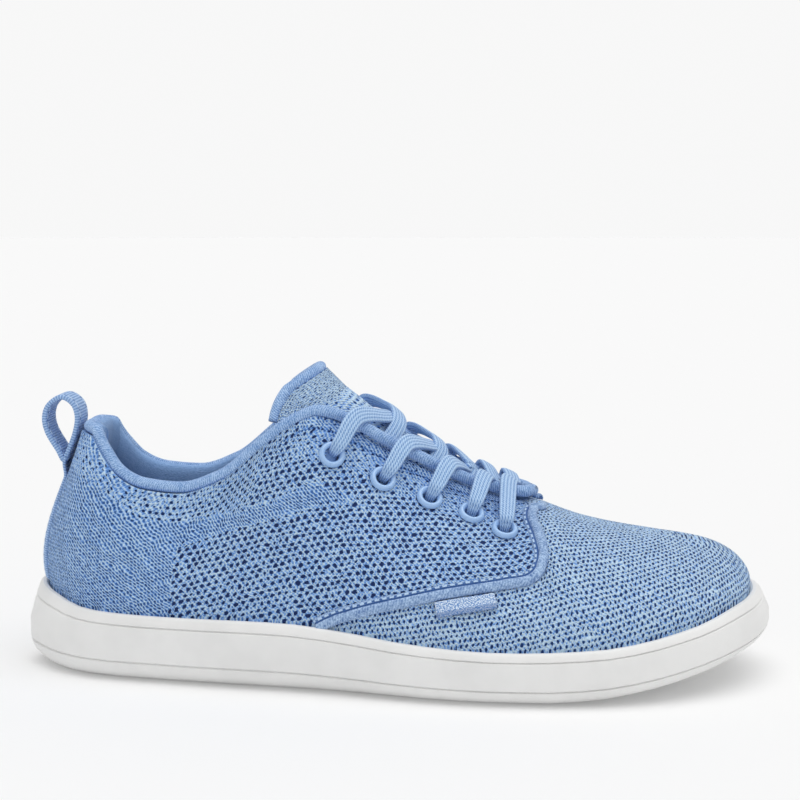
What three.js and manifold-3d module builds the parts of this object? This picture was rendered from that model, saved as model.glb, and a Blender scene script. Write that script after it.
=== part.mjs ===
// Knit sneaker, right shoe, standing empty on its sole.
// Millimetres, +X to the toe, +Y to the inner side of the foot, +Z up.
import * as THREE from 'three';
import { mergeVertices } from 'three/addons/utils/BufferGeometryUtils.js';
import Module from 'manifold-3d';

// Overall sizes of the sole
const SOLE_LENGTH = 270;
const BALL_WIDTH = 104;
const SEAT_WIDTH = 71;
const RIM_HEIGHT = 24;
const FLOOR_HEIGHT = 15;
const TOE_SPRING = 14;
const SPRING_FROM = 0.7;
const SPRING_CURVE = 1.7;
const SIDE_ROUND = 8;
const ARCH_CUT = 13;
const ARCH_OUTSIDE = 0.1;
const ARCH_TOP = 0.82;
const RIM_TUCK = 4.5;
const RIM_WALL = 3;
const LINE_DEPTH = 0.7;
const LIP_ROUND = 0.9;

// Tread
const TREAD_BORDER = 9;
const TREAD_DEPTH = 1.3;
const GROOVE = 1.5;
const PAD_PITCH = 10.8;
const RIB_PITCH = 6.6;
const RIB_BAND = 13;
const PRISM_HEIGHT = 60;

// Upper
const HEEL_HEIGHT = 87.5;
const INSTEP_HEIGHT = 93.5;
const TOE_HEIGHT = 48.5;
const ANKLE_WIDTH = 52;
const CROWN_SHIFT = 3;
const WALL = 2.4;
const COLLAR_PAD = 2.2;
const PAD_REACH = 30;

// Pieces set on and in the upper
const CLEARANCE = 0.3;
const INSOLE_THICKNESS = 4;
const TONGUE_THICKNESS = 3.6;
const TONGUE_REACH = 24;
const TONGUE_RISE = 11.5;
const BINDING_DIAMETER = 4.2;
const EYELET_DIAMETER = 9.4;
const EYELET_HOLE = 5.2;
const EYELET_BARREL = 0.7;
const EYELET_HEIGHT = 1.5;
const EYELET_DROP = 12.4;
const LACE_WIDTH = 6.4;
const LACE_THICKNESS = 1.9;
const LACE_RIDE = 1.2;
const BAND_WIDTH = 5;
const BAND_HEIGHT = 1.8;
const WEB_WIDTH = 14;
const WEB_THICKNESS = 1.6;
const LOOP_HEIGHT = 23.5;
const LOOP_WIDTH = 13;
const TAG_LENGTH = 21;
const TAG_DROP = 5.4;
const TAG_THICKNESS = 1.2;

// How finely the curved pieces are cut
const STATIONS = 38;
const UPPER_ROWS = 7;
const TONGUE_COLUMNS = 4;
const EYELET_SIDES = 9;

const wasm = await Module();
wasm.setup();

// Sole outline seen from above, one row per section: share of the length from the heel,
// then how far the outer and inner edges stand out, as shares of the width there.
const OUTLINE = [
  { along: 0.000, outer: 0.000, inner: 0.000 },
  { along: 0.026, outer: 0.218, inner: 0.218 },
  { along: 0.061, outer: 0.345, inner: 0.338 },
  { along: 0.119, outer: 0.448, inner: 0.437 },
  { along: 0.190, outer: 0.505, inner: 0.475 },
  { along: 0.260, outer: 0.530, inner: 0.452 },
  { along: 0.330, outer: 0.531, inner: 0.396 },
  { along: 0.400, outer: 0.524, inner: 0.357 },
  { along: 0.475, outer: 0.534, inner: 0.354 },
  { along: 0.550, outer: 0.555, inner: 0.373 },
  { along: 0.620, outer: 0.573, inner: 0.401 },
  { along: 0.690, outer: 0.579, inner: 0.421 },
  { along: 0.760, outer: 0.567, inner: 0.417 },
  { along: 0.830, outer: 0.524, inner: 0.394 },
  { along: 0.890, outer: 0.452, inner: 0.354 },
  { along: 0.930, outer: 0.380, inner: 0.306 },
  { along: 0.965, outer: 0.284, inner: 0.236 },
  { along: 0.988, outer: 0.168, inner: 0.144 },
  { along: 1.000, outer: 0.000, inner: 0.000 },
];

// Heights along the sole: rim and floor as shares of their own sizes, how far the rim
// leans in as a share of the tuck, and how much of the arch is cut away underneath.
const LENGTHWISE = [
  { along: 0.00, rim: 1.270, floor: 1.03, tuck: 1.00, arch: 0.00 },
  { along: 0.04, rim: 1.130, floor: 1.02, tuck: 0.80, arch: 0.00 },
  { along: 0.10, rim: 1.010, floor: 1.00, tuck: 0.50, arch: 0.00 },
  { along: 0.20, rim: 0.985, floor: 0.99, tuck: 0.35, arch: 0.12 },
  { along: 0.35, rim: 1.000, floor: 0.95, tuck: 0.35, arch: 0.85 },
  { along: 0.43, rim: 0.940, floor: 0.87, tuck: 0.35, arch: 1.00 },
  { along: 0.52, rim: 0.820, floor: 0.77, tuck: 0.35, arch: 0.55 },
  { along: 0.64, rim: 0.755, floor: 0.67, tuck: 0.35, arch: 0.05 },
  { along: 0.76, rim: 0.800, floor: 0.66, tuck: 0.35, arch: 0.00 },
  { along: 0.88, rim: 1.000, floor: 0.80, tuck: 0.45, arch: 0.00 },
  { along: 0.96, rim: 1.220, floor: 1.00, tuck: 0.75, arch: 0.00 },
  { along: 1.00, rim: 1.310, floor: 1.12, tuck: 0.95, arch: 0.00 },
];

// Side wall from the ground up: share of the rim height, then how far the wall stands in
// as shares of the bottom rounding, of the rim's tuck and of the moulded lines' depth.
const SIDE_WALL = [
  { up: 0.000, round: 1.000, tuck: 0.00, line: 0 },
  { up: 0.070, round: 0.560, tuck: 0.00, line: 0 },
  { up: 0.180, round: 0.220, tuck: 0.00, line: 0 },
  { up: 0.285, round: 0.075, tuck: 0.00, line: 0 },
  { up: 0.305, round: 0.065, tuck: 0.00, line: 1 },
  { up: 0.325, round: 0.050, tuck: 0.00, line: 0 },
  { up: 0.550, round: 0.000, tuck: 0.10, line: 0 },
  { up: 0.820, round: 0.000, tuck: 0.60, line: 0 },
  { up: 0.840, round: 0.000, tuck: 0.64, line: 1 },
  { up: 0.860, round: 0.000, tuck: 0.68, line: 0 },
];

// The upper's sections from heel to toe: where the section stands on the sole, where its
// top edge lies, the half width and height there, and the two handles that bow the wall.
const SECTIONS = [
  { base: 0, top: .078, half: 0, high: .972, of: HEEL_HEIGHT, lift: .3, belly: .1, crown: .34, lean: 0 },
  {base: .02, top: .083, half: .17, high: .98, of: HEEL_HEIGHT, lift: .3, belly: .09, crown: .32, lean: 6},
  {base: .06, top: .101, half: .31, high: .97, of: HEEL_HEIGHT, lift: .31, belly: .08, crown: .3, lean: 14},
  {base: .09, top: .119, half: .375, high: .89, of: HEEL_HEIGHT, lift: .32, belly: .06, crown: .28, lean: 16},
  {base: .12, top: .141, half: .43, high: .813, of: HEEL_HEIGHT, lift: .33, belly: .06, crown: .28, lean: 16},
  {base: .155, top: .174, half: .465, high: .766, of: HEEL_HEIGHT, lift: .34, belly: .05, crown: .28, lean: 14},
  {base: .2, top: .222, half: .49, high: .752, of: HEEL_HEIGHT, lift: .34, belly: .04, crown: .28, lean: 12},
  {base: .25, top: .274, half: .5, high: .802, of: HEEL_HEIGHT, lift: .34, belly: .03, crown: .28, lean: 12},
  {base: .3, top: .337, half: .5, high: .896, of: INSTEP_HEIGHT, lift: .34, belly: 0, crown: .28, lean: 16},
  {base: .33, top: .372, half: .485, high: .967, of: INSTEP_HEIGHT, lift: .34, belly: 0, crown: .28, lean: 22},
  {base: .355, top: .4, half: .46, high: .998, of: INSTEP_HEIGHT, lift: .34, belly: 0, crown: .28, lean: 30},
  {base: .38, top: .424, half: .415, high: .98, of: INSTEP_HEIGHT, lift: .34, belly: 0, crown: .3, lean: 38},
  {base: .405, top: .447, half: .385, high: .945, of: INSTEP_HEIGHT, lift: .34, belly: 0, crown: .32, lean: 44},
  {base: .45, top: .489, half: .355, high: .873, of: INSTEP_HEIGHT, lift: .34, belly: 0, crown: .34, lean: 50},
  {base: .5, top: .531, half: .325, high: .81, of: INSTEP_HEIGHT, lift: .34, belly: 0, crown: .36, lean: 55},
  {base: .55, top: .568, half: .295, high: .755, of: INSTEP_HEIGHT, lift: .36, belly: .01, crown: .4, lean: 60},
  {base: .6, top: .604, half: .255, high: .71, of: INSTEP_HEIGHT, lift: .38, belly: .02, crown: .44, lean: 66},
  {base: .655, top: .644, half: .195, high: .672, of: INSTEP_HEIGHT, lift: .4, belly: .03, crown: .5, lean: 74},
  {base: .69, top: .668, half: .12, high: .655, of: INSTEP_HEIGHT, lift: .42, belly: .04, crown: .56, lean: 82},
  {base: .712, top: .681, half: 0, high: .648, of: INSTEP_HEIGHT, lift: .44, belly: .04, crown: .62, lean: 90},
  {base: .8, top: .746, half: 0, high: 1.116, of: TOE_HEIGHT, lift: .46, belly: .06, crown: .64, lean: 90},
  { base: .88, top: .8, half: 0, high: 1.046, of: TOE_HEIGHT, lift: .44, belly: .08, crown: .62, lean: 90 },
  {base: .94, top: .838, half: 0, high: 1.01, of: TOE_HEIGHT, lift: .38, belly: .08, crown: .56, lean: 90},
  { base: .98, top: .863, half: 0, high: .994, of: TOE_HEIGHT, lift: .32, belly: .07, crown: .5, lean: 90 },
  { base: 1, top: .882, half: 0, high: .984, of: TOE_HEIGHT, lift: .28, belly: .06, crown: .46, lean: 90 },
];
const THROAT_END = 0.712;

// Eyelets down the throat, and the seam band from the throat's end to the sole: where each
// stands along the upper and, for the band, how high up the wall.
const EYELETS = [
  { base: 0.391, drop: 1.00 },
  { base: 0.462, drop: 0.98 },
  { base: 0.534, drop: 0.98 },
  { base: 0.602, drop: 1.14 },
  { base: 0.654, drop: 1.66 },
];
const BAND_PATH = [
  { base: 0.724, up: 0.900 },
  { base: 0.700, up: 0.790 },
  { base: 0.705, up: 0.620 },
  { base: 0.704, up: 0.500 },
  { base: 0.684, up: 0.420 },
  { base: 0.645, up: 0.392 },
  { base: 0.575, up: 0.322 },
  { base: 0.500, up: 0.210 },
  { base: 0.440, up: 0.090 },
];
const TAG_AT = 0.596;

// Smooth value between the rows of a table, with no overshoot
function between(xs, ys, x) {
  const last = xs.length - 1;
  const at = Math.min(Math.max(x, xs[0]), xs[last]);
  let i = 0;
  while (i < last - 1 && at > xs[i + 1]) i += 1;
  const chord = (k) => (ys[k + 1] - ys[k]) / (xs[k + 1] - xs[k]);
  const slope = (k) => {
    if (k === 0) return chord(0);
    if (k === last) return chord(last - 1);
    const before = chord(k - 1);
    const after = chord(k);
    return before * after <= 0 ? 0 : (2 * before * after) / (before + after);
  };
  const span = xs[i + 1] - xs[i];
  const s = (at - xs[i]) / span;
  const rise = s * s * (3 - 2 * s);
  const enter = s * (1 - s) * (1 - s) * slope(i) * span;
  const leave = s * s * (s - 1) * slope(i + 1) * span;
  return ys[i] * (1 - rise) + ys[i + 1] * rise + enter + leave;
}

// A station runs from 0 at the heel to 1 at the toe, crowded towards both round ends
const station = (along) => Math.acos(1 - 2 * along) / Math.PI;
const alongOf = (t) => (1 - Math.cos(Math.PI * t)) / 2;

function column(rows, key, value) {
  const xs = rows.map((row) => station(row[key]));
  const ys = rows.map(value);
  return (t) => between(xs, ys, t);
}

// Width that the outline's shares are taken of: the seat at the heel, the ball in front
function localWidth(along) {
  return THREE.MathUtils.lerp(SEAT_WIDTH, BALL_WIDTH, THREE.MathUtils.smoothstep(along, 0.15, 0.6));
}

const edge = {
  [-1]: column(OUTLINE, 'along', (row) => -row.outer * localWidth(row.along)),
  [1]: column(OUTLINE, 'along', (row) => row.inner * localWidth(row.along)),
};
const rimShare = column(LENGTHWISE, 'along', (row) => row.rim * RIM_HEIGHT);
const floorShare = column(LENGTHWISE, 'along', (row) => row.floor * FLOOR_HEIGHT);
const tuckAt = column(LENGTHWISE, 'along', (row) => row.tuck * RIM_TUCK);
const archAt = column(LENGTHWISE, 'along', (row) => row.arch * ARCH_CUT);

// Underside: flat from the heel to the ball, then sprung up to the toe
function underside(x) {
  const beyond = Math.max(0, x / SOLE_LENGTH - SPRING_FROM) / (1 - SPRING_FROM);
  return TOE_SPRING * beyond ** SPRING_CURVE;
}

// The outline is walked once round as w from 0 to 2: out along the outer side to the toe
// at 1, and back along the inner side.
function walk(w) {
  const turn = ((w % 2) + 2) % 2;
  return turn <= 1 ? { side: -1, t: turn } : { side: 1, t: 2 - turn };
}

function rimPoint(w) {
  const { side, t } = walk(w);
  return new THREE.Vector2(SOLE_LENGTH * alongOf(t), edge[side](t));
}

// How far the arch is cut in under the sole, mostly on the inner side
function archOn(w) {
  const { side, t } = walk(w);
  return archAt(t) * (side === 1 ? 1 : ARCH_OUTSIDE);
}

// Point of the outline moved inwards by a distance, square to the edge
function insetPoint(w, inset) {
  const step = 0.004;
  const along = rimPoint(w + step).sub(rimPoint(w - step)).normalize();
  const here = rimPoint(w);
  return new THREE.Vector2(here.x - along.y * inset, here.y + along.x * inset);
}

function outward(w) {
  const step = 0.004;
  const along = rimPoint(w + step).sub(rimPoint(w - step)).normalize();
  return new THREE.Vector3(along.y, -along.x, 0);
}

const COUNT = 2 * STATIONS;
const around = Array.from({ length: COUNT }, (_, i) => i / STATIONS);

// Closed solid from rings of points that are all walked the same way. The end rings are
// closed by strips across: from a tip where the ring starts at one, else between two sides.
function skin(rings, { endless = false, tipped = true, keep = () => true } = {}) {
  const size = rings[0].length;
  const points = rings.flat();
  const faces = [];
  const bands = endless ? rings.length : rings.length - 1;
  for (let r = 0; r < bands; r += 1) {
    const below = r * size;
    const above = ((r + 1) % rings.length) * size;
    for (let i = 0; i < size; i += 1) {
      const j = (i + 1) % size;
      if (!keep(r, i)) continue;
      faces.push(below + i, below + j, above + j, below + i, above + j, above + i);
    }
  }
  if (!endless) {
    const top = (rings.length - 1) * size;
    const partner = (i) => (tipped ? (size - i) % size : size - 1 - i);
    for (let i = 0; i < size / 2 - (tipped ? 0 : 1); i += 1) {
      const [a, b, c, d] = [i, i + 1, partner(i + 1), partner(i)];
      faces.push(a, c, b, a, d, c);
      faces.push(top + a, top + b, top + c, top + a, top + c, top + d);
    }
  }
  return solid(points, faces);
}

// Merged geometry from points and corner numbers, without faces that have no area
function solid(points, faces) {
  const flat = new Float32Array(points.flatMap((p) => [p.x, p.y, p.z]));
  const raw = new THREE.BufferGeometry();
  raw.setAttribute('position', new THREE.BufferAttribute(flat, 3));
  raw.setIndex(faces);
  const merged = mergeVertices(raw, 1e-3);
  const index = Array.from(merged.index.array);
  const kept = [];
  for (let i = 0; i < index.length; i += 3) {
    const [a, b, c] = index.slice(i, i + 3);
    if (a !== b && b !== c && c !== a) kept.push(a, b, c);
  }
  merged.setIndex(kept);
  return merged;
}

const toManifold = (geometry) => new wasm.Manifold(new wasm.Mesh({
  numProp: 3,
  vertProperties: new Float32Array(geometry.attributes.position.array),
  triVerts: new Uint32Array(geometry.index.array),
}));

function fromManifold(body) {
  const mesh = body.getMesh();
  const geometry = new THREE.BufferGeometry();
  geometry.setAttribute('position', new THREE.BufferAttribute(new Float32Array(mesh.vertProperties), 3));
  geometry.setIndex(Array.from(mesh.triVerts));
  return geometry;
}

// Upright prism over a flat outline, taller than the sole. Each layer is a little shorter
// than the one before, so that no two of them end on one plane.
function prism(outline, layer) {
  const high = PRISM_HEIGHT - layer;
  const shape = new THREE.Shape(outline);
  const geometry = new THREE.ExtrudeGeometry(shape, { depth: 2 * high, bevelEnabled: false });
  geometry.translate(0, 0, -high);
  geometry.deleteAttribute('normal');
  geometry.deleteAttribute('uv');
  return mergeVertices(geometry, 1e-3);
}

// Sole: stacked rings up the side wall, over the lip and down into the cup
function soleBody() {
  const rings = SIDE_WALL.map((row) => around.map((w) => {
    const { t } = walk(w);
    const x = SOLE_LENGTH * alongOf(t);
    const low = underside(x);
    const waist = archOn(w) * Math.max(0, 1 - row.up / ARCH_TOP) ** 1.5;
    const foot = SIDE_ROUND * row.round + waist;
    const inset = foot + tuckAt(t) * row.tuck + LINE_DEPTH * row.line;
    const p = insetPoint(w, inset);
    return new THREE.Vector3(p.x, p.y, low + (rimShare(t) - low) * row.up);
  }));
  const lip = [
    { tuck: 0.96, wall: 0.0, drop: LIP_ROUND },
    { tuck: 1.0, wall: LIP_ROUND, drop: 0 },
    { tuck: 1.0, wall: RIM_WALL - LIP_ROUND, drop: 0 },
    { tuck: 1.0, wall: RIM_WALL, drop: LIP_ROUND },
  ];
  lip.forEach((row) => rings.push(around.map((w) => {
    const { t } = walk(w);
    const p = insetPoint(w, tuckAt(t) * row.tuck + row.wall);
    return new THREE.Vector3(p.x, p.y, rimShare(t) - row.drop);
  })));
  rings.push(around.map((w) => {
    const { t } = walk(w);
    const p = insetPoint(w, tuckAt(t) + RIM_WALL);
    return new THREE.Vector3(p.x, p.y, floorShare(t));
  }));
  return skin(rings);
}

// Tread zones: each line runs across the sole, as shares of the ball width and the length
const FORE_LINE = [
  { across: -0.60, along: 0.700 },
  { across: -0.25, along: 0.785 },
  { across: 0.05, along: 0.812 },
  { across: 0.40, along: 0.765 },
];
const HEEL_LINE = [
  { across: -0.60, along: 0.330 },
  { across: -0.28, along: 0.295 },
  { across: -0.04, along: 0.262 },
  { across: 0.20, along: 0.300 },
  { across: 0.45, along: 0.340 },
];

const lineAcross = (rows, shift) => rows.map((row) => new THREE.Vector2(
  row.along * SOLE_LENGTH + shift, row.across * BALL_WIDTH));

// Area of the underside between two lines across it
function zone(rear, front) {
  return prism([...rear, ...[...front].reverse()], 0);
}

// Zigzag groove across the whole sole, with its bends a band apart
function zigzag(x) {
  const bends = Math.ceil(BALL_WIDTH / RIB_BAND / 2) + 1;
  const path = [];
  for (let k = -bends; k <= bends; k += 1) {
    path.push(new THREE.Vector2(x + (k % 2 === 0 ? 0 : RIB_BAND), k * RIB_BAND));
  }
  const width = GROOVE * Math.SQRT2;
  const rear = path.map((p) => new THREE.Vector2(p.x - width / 2, p.y));
  const front = path.map((p) => new THREE.Vector2(p.x + width / 2, p.y));
  return prism([...rear, ...front.reverse()], 1);
}

// Outline of the tread: the sole's own outline, shortened and narrowed by the border
const treadRing = around.map((w) => {
  const border = SIDE_ROUND + TREAD_BORDER;
  const [here, across] = [rimPoint(w), rimPoint(2 - w)];
  const middle = (here.y + across.y) / 2;
  const narrowing = 1 - 2 * (border + archOn(w)) / BALL_WIDTH;
  return new THREE.Vector2(
    border + here.x * (1 - 2 * border / SOLE_LENGTH),
    middle + (here.y - middle) * narrowing,
  );
});

function treadGrooves() {
  const low = -TOE_SPRING;
  const area = toManifold(prism(treadRing, 2));
  const steps = [-0.05, SPRING_FROM, 0.77, 0.83, 0.89, 0.95, 1.0];
  const slabRings = steps.map((along) => {
    const x = along * SOLE_LENGTH;
    const high = underside(x) + TREAD_DEPTH;
    return [[-BALL_WIDTH, low], [BALL_WIDTH, low], [BALL_WIDTH, high], [-BALL_WIDTH, high]]
      .map(([y, z]) => new THREE.Vector3(x, y, z));
  });
  const slab = toManifold(outside(skin(slabRings, { tipped: false })));
  const rib = GROOVE * 0.9;
  const straight = (along) => lineAcross([{ across: -0.7, along }, { across: 0.7, along }], 0);
  const fore = toManifold(zone(lineAcross(FORE_LINE, rib), straight(1.1)));
  const heel = toManifold(zone(straight(-0.1), lineAcross(HEEL_LINE, -rib)));
  const waist = toManifold(zone(lineAcross(HEEL_LINE, rib), lineAcross(FORE_LINE, -rib)));
  let zigzags = null;
  const count = Math.ceil(SOLE_LENGTH / RIB_PITCH);
  for (let k = -2; k < count; k += 1) {
    const x = k * RIB_PITCH;
    const inHeel = x < 0.34 * SOLE_LENGTH;
    const inFore = x > 0.62 * SOLE_LENGTH;
    if (!inHeel && !inFore) continue;
    const groove = toManifold(zigzag(x));
    zigzags = zigzags ? zigzags.add(groove) : groove;
  }
  const pads = [];
  const across = PAD_PITCH * Math.sqrt(3) / 2;
  const rows = Math.ceil(BALL_WIDTH / across / 2);
  const padRadius = (PAD_PITCH - GROOVE) / Math.sqrt(3);
  for (let r = -rows; r <= rows; r += 1) {
    for (let k = 0; k * PAD_PITCH < SOLE_LENGTH; k += 1) {
      const x = (k + (r % 2 === 0 ? 0 : 0.5)) * PAD_PITCH;
      if (x < 0.22 * SOLE_LENGTH || x > 0.85 * SOLE_LENGTH) continue;
      const corners = Array.from({ length: 6 }, (_, i) => new THREE.Vector2(
        x + padRadius * Math.cos((i + 0.5) * Math.PI / 3),
        r * across + padRadius * Math.sin((i + 0.5) * Math.PI / 3),
      ));
      pads.push(toManifold(prism(corners, 3)));
    }
  }
  const padField = pads.reduce((sum, pad) => sum.add(pad));
  const ribs = zigzags.intersect(fore.add(heel));
  const gaps = waist.subtract(padField);
  const lines = area.subtract(fore).subtract(heel).subtract(waist);
  return slab.intersect(area).intersect(ribs.add(gaps).add(lines));
}

const soleGeometry = () => fromManifold(toManifold(soleBody()).subtract(treadGrooves()));

// Upper: each section is a curve from the rim of the cup to the top edge
const track = (value) => column(SECTIONS, 'base', value);
const topAlong = track((row) => row.top * SOLE_LENGTH);
const topHalf = track((row) => row.half * ANKLE_WIDTH);
const topHeight = track((row) => row.high * row.of);
const handleLift = track((row) => row.lift);
const handleBelly = track((row) => row.belly);
const handleCrown = track((row) => row.crown);
const handleLean = track((row) => THREE.MathUtils.degToRad(row.lean));
const throatEnd = station(THROAT_END);
const footInset = (t) => tuckAt(t) + RIM_WALL + CLEARANCE;

// Centre line of the upper's top, from the middle of the heel to the toe
function centreLine(x) {
  return CROWN_SHIFT * THREE.MathUtils.smoothstep(x / SOLE_LENGTH, 0.4, 0.85);
}

// Point of the upper's outside: up runs from 0 at the rim of the cup to 1 at the top edge
function upperPoint(w, up) {
  const { side, t } = walk(w);
  const foot = insetPoint(w, footInset(t));
  const from = new THREE.Vector3(foot.x, foot.y, rimShare(t));
  const closed = t >= throatEnd;
  const topX = topAlong(t);
  const topY = centreLine(topX) + (closed ? 0 : side * topHalf(t));
  const to = new THREE.Vector3(topX, topY, topHeight(t));
  const out = outward(w);
  const down = new THREE.Vector3(from.x - to.x, 0, from.z - to.z);
  const size = down.length();
  const lean = handleLean(t);
  const rise = new THREE.Vector3(0, 0, handleLift(t) * size).addScaledVector(out, handleBelly(t) * size);
  const lower = from.clone().add(rise);
  const reach = handleCrown(t);
  const sideways = closed ? Math.max(size, Math.abs(from.y - to.y)) : size;
  const upper = to.clone()
    .addScaledVector(down, reach * Math.cos(lean))
    .addScaledVector(out, reach * Math.sin(lean) * sideways);
  return new THREE.CubicBezierCurve3(from, lower, upper, to).getPoint(up);
}

function upperNormal(w, up) {
  const step = 0.01;
  const high = Math.min(up + step, 1);
  const low = Math.max(up - step, 0);
  const climb = upperPoint(w, high).sub(upperPoint(w, low));
  const sweep = upperPoint(w + step, up).sub(upperPoint(w - step, up));
  return sweep.cross(climb).normalize();
}

// Wall thickness: thicker towards the collar, where it is padded
function wallAt(w, up) {
  const { t } = walk(w);
  const fromTop = (1 - up) * (topHeight(t) - rimShare(t));
  const padded = 1 - THREE.MathUtils.smoothstep(fromTop, PAD_REACH * 0.3, PAD_REACH);
  const behind = 1 - THREE.MathUtils.smoothstep(t, station(0.2), station(0.31));
  return WALL + COLLAR_PAD * padded * behind;
}

// Outer and inner sheets of the upper, the inner one moved in along the joined normals
function upperSheets() {
  const ups = Array.from({ length: UPPER_ROWS + 1 }, (_, i) => i / UPPER_ROWS);
  const outer = [around.map((w) => {
    const { t } = walk(w);
    const p = insetPoint(w, footInset(t));
    return new THREE.Vector3(p.x, p.y, floorShare(t) + CLEARANCE);
  })];
  ups.forEach((up) => outer.push(around.map((w) => upperPoint(w, up))));
  const sheet = outer.flat();
  const sums = new Map();
  const key = (p) => [p.x, p.y, p.z].map((c) => Math.round(c * 500)).join();
  const addFace = (a, b, c) => {
    const area = new THREE.Vector3().subVectors(b, a).cross(new THREE.Vector3().subVectors(c, a));
    [a, b, c].forEach((p) => sums.set(key(p), (sums.get(key(p)) ?? new THREE.Vector3()).add(area)));
  };
  for (let r = 0; r + 1 < outer.length; r += 1) {
    for (let i = 0; i < COUNT; i += 1) {
      const at = (row, k) => sheet[row * COUNT + (k % COUNT)];
      addFace(at(r, i), at(r, i + 1), at(r + 1, i + 1));
      addFace(at(r, i), at(r + 1, i + 1), at(r + 1, i));
    }
  }
  const inner = outer.map((row, r) => row.map((p, i) => {
    const w = around[i];
    if (r < 2) return p.clone().addScaledVector(outward(w), -WALL);
    const normal = sums.get(key(p)).clone().normalize();
    return p.clone().addScaledVector(normal, -wallAt(w, ups[r - 1]));
  }));
  return { outer, inner };
}

function upperShell() {
  const { outer, inner } = upperSheets();
  const rings = [...outer, ...inner.reverse()];
  const rim = outer.length - 1;
  const closed = (i) => walk(around[i % COUNT]).t >= throatEnd;
  return skin(rings, { endless: true, keep: (r, i) => r !== rim || !(closed(i) && closed(i + 1)) });
}

// Frame on the upper's outside: a point with the directions along, up and out of it
function seat(w, up) {
  const out = upperNormal(w, up);
  const at = upperPoint(w, up);
  const [low, high] = [Math.max(up - 0.01, 0), Math.min(up + 0.01, 1)];
  const climb = upperPoint(w, high).sub(upperPoint(w, low)).normalize();
  const along = new THREE.Vector3().crossVectors(climb, out).normalize();
  return { at, out, climb, along };
}

// Share of the wall's height that lies a distance below the top edge
function upBelowTop(w, distance) {
  let up = 1;
  let walked = 0;
  let before = upperPoint(w, up);
  while (walked < distance && up > 0) {
    up -= 0.01;
    const here = upperPoint(w, up);
    walked += here.distanceTo(before);
    before = here;
  }
  return up;
}

const onSide = (side, t) => (side === -1 ? t : 2 - t);
function eyeletSeat(side, number) {
  const { base, drop } = EYELETS[number];
  const w = onSide(side, station(base));
  return { side, number, ...seat(w, upBelowTop(w, EYELET_DROP * drop)) };
}
const eyeletSeats = EYELETS.flatMap((_, number) => [-1, 1].map((side) => eyeletSeat(side, number)));

function placed(geometry, { at, out, along }) {
  const across = new THREE.Vector3().crossVectors(out, along);
  const matrix = new THREE.Matrix4().makeBasis(along, across, out).setPosition(at);
  geometry.applyMatrix4(matrix);
  return geometry;
}

function lathe(profile, segments) {
  const geometry = new THREE.LatheGeometry(profile.map(([r, z]) => new THREE.Vector2(r, z)), segments);
  geometry.deleteAttribute('normal');
  geometry.deleteAttribute('uv');
  geometry.rotateX(Math.PI / 2);
  return mergeVertices(geometry, 1e-3);
}

function upperGeometry() {
  let body = toManifold(upperShell());
  const bore = EYELET_HOLE / 2 + EYELET_BARREL + CLEARANCE;
  const deep = WALL + EYELET_HOLE;
  eyeletSeats.forEach((place) => {
    const drill = lathe([[0, -deep], [bore, -deep], [bore, deep / 2], [0, deep / 2]], EYELET_SIDES);
    body = body.subtract(toManifold(placed(outside(drill), place)));
  });
  return fromManifold(body);
}

// Turns a closed geometry's faces out where they point in
function outside(geometry) {
  const p = geometry.attributes.position;
  const index = geometry.index.array;
  const corner = (k) => new THREE.Vector3().fromBufferAttribute(p, index[k]);
  let volume = 0;
  for (let i = 0; i < index.length; i += 3) {
    volume += corner(i).dot(corner(i + 1).cross(corner(i + 2)));
  }
  if (volume < 0) geometry.setIndex(Array.from(index).reverse());
  return geometry;
}

function eyeletGeometry(place) {
  const hole = EYELET_HOLE / 2;
  const barrel = hole + EYELET_BARREL;
  const ring = EYELET_DIAMETER / 2;
  const lowest = CLEARANCE * 2;
  const profile = [
    [hole, -WALL], [barrel, -WALL], [barrel, lowest], [ring, lowest],
    [ring - EYELET_HEIGHT * 0.4, lowest + EYELET_HEIGHT], [hole, lowest + EYELET_HEIGHT * 0.8], [hole, -WALL],
  ];
  return placed(outside(lathe(profile, EYELET_SIDES)), place);
}

// Insole: a flat sheet that follows the cup's floor inside the upper
function insoleGeometry() {
  const ring = (rise) => around.map((w) => {
    const { t } = walk(w);
    const p = insetPoint(w, footInset(t) + WALL + CLEARANCE);
    return new THREE.Vector3(p.x, p.y, floorShare(t) + rise);
  });
  return skin([ring(CLEARANCE), ring(CLEARANCE + INSOLE_THICKNESS)]);
}

// Solid swept along a path of seats by a flat section given as [sideways, outwards]
function sweep(path, section, closed = false) {
  const count = path.length;
  const rings = path.map(({ at, out }, i) => {
    const next = closed ? path[(i + 1) % count] : path[Math.min(i + 1, count - 1)];
    const last = closed ? path[(i + count - 1) % count] : path[Math.max(i - 1, 0)];
    const ahead = next.at.clone().sub(last.at).normalize();
    const side = new THREE.Vector3().crossVectors(ahead, out).normalize();
    const square = new THREE.Vector3().crossVectors(side, ahead).normalize();
    return section.map(([s, o]) => at.clone().addScaledVector(side, s).addScaledVector(square, o));
  });
  return outside(skin(rings, { endless: closed, tipped: false }));
}

const polygon = (radius, sides) => Array.from({ length: sides }, (_, i) => {
  const angle = ((i + 0.5) * 2 * Math.PI) / sides;
  return [radius * Math.cos(angle), radius * Math.sin(angle)];
});

// Topline binding: a rolled edge round the collar and down both sides of the throat. It
// lies on top of the collar's edge, and turns to the outside down the throat.
const BINDING_TURN = 35;

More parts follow.
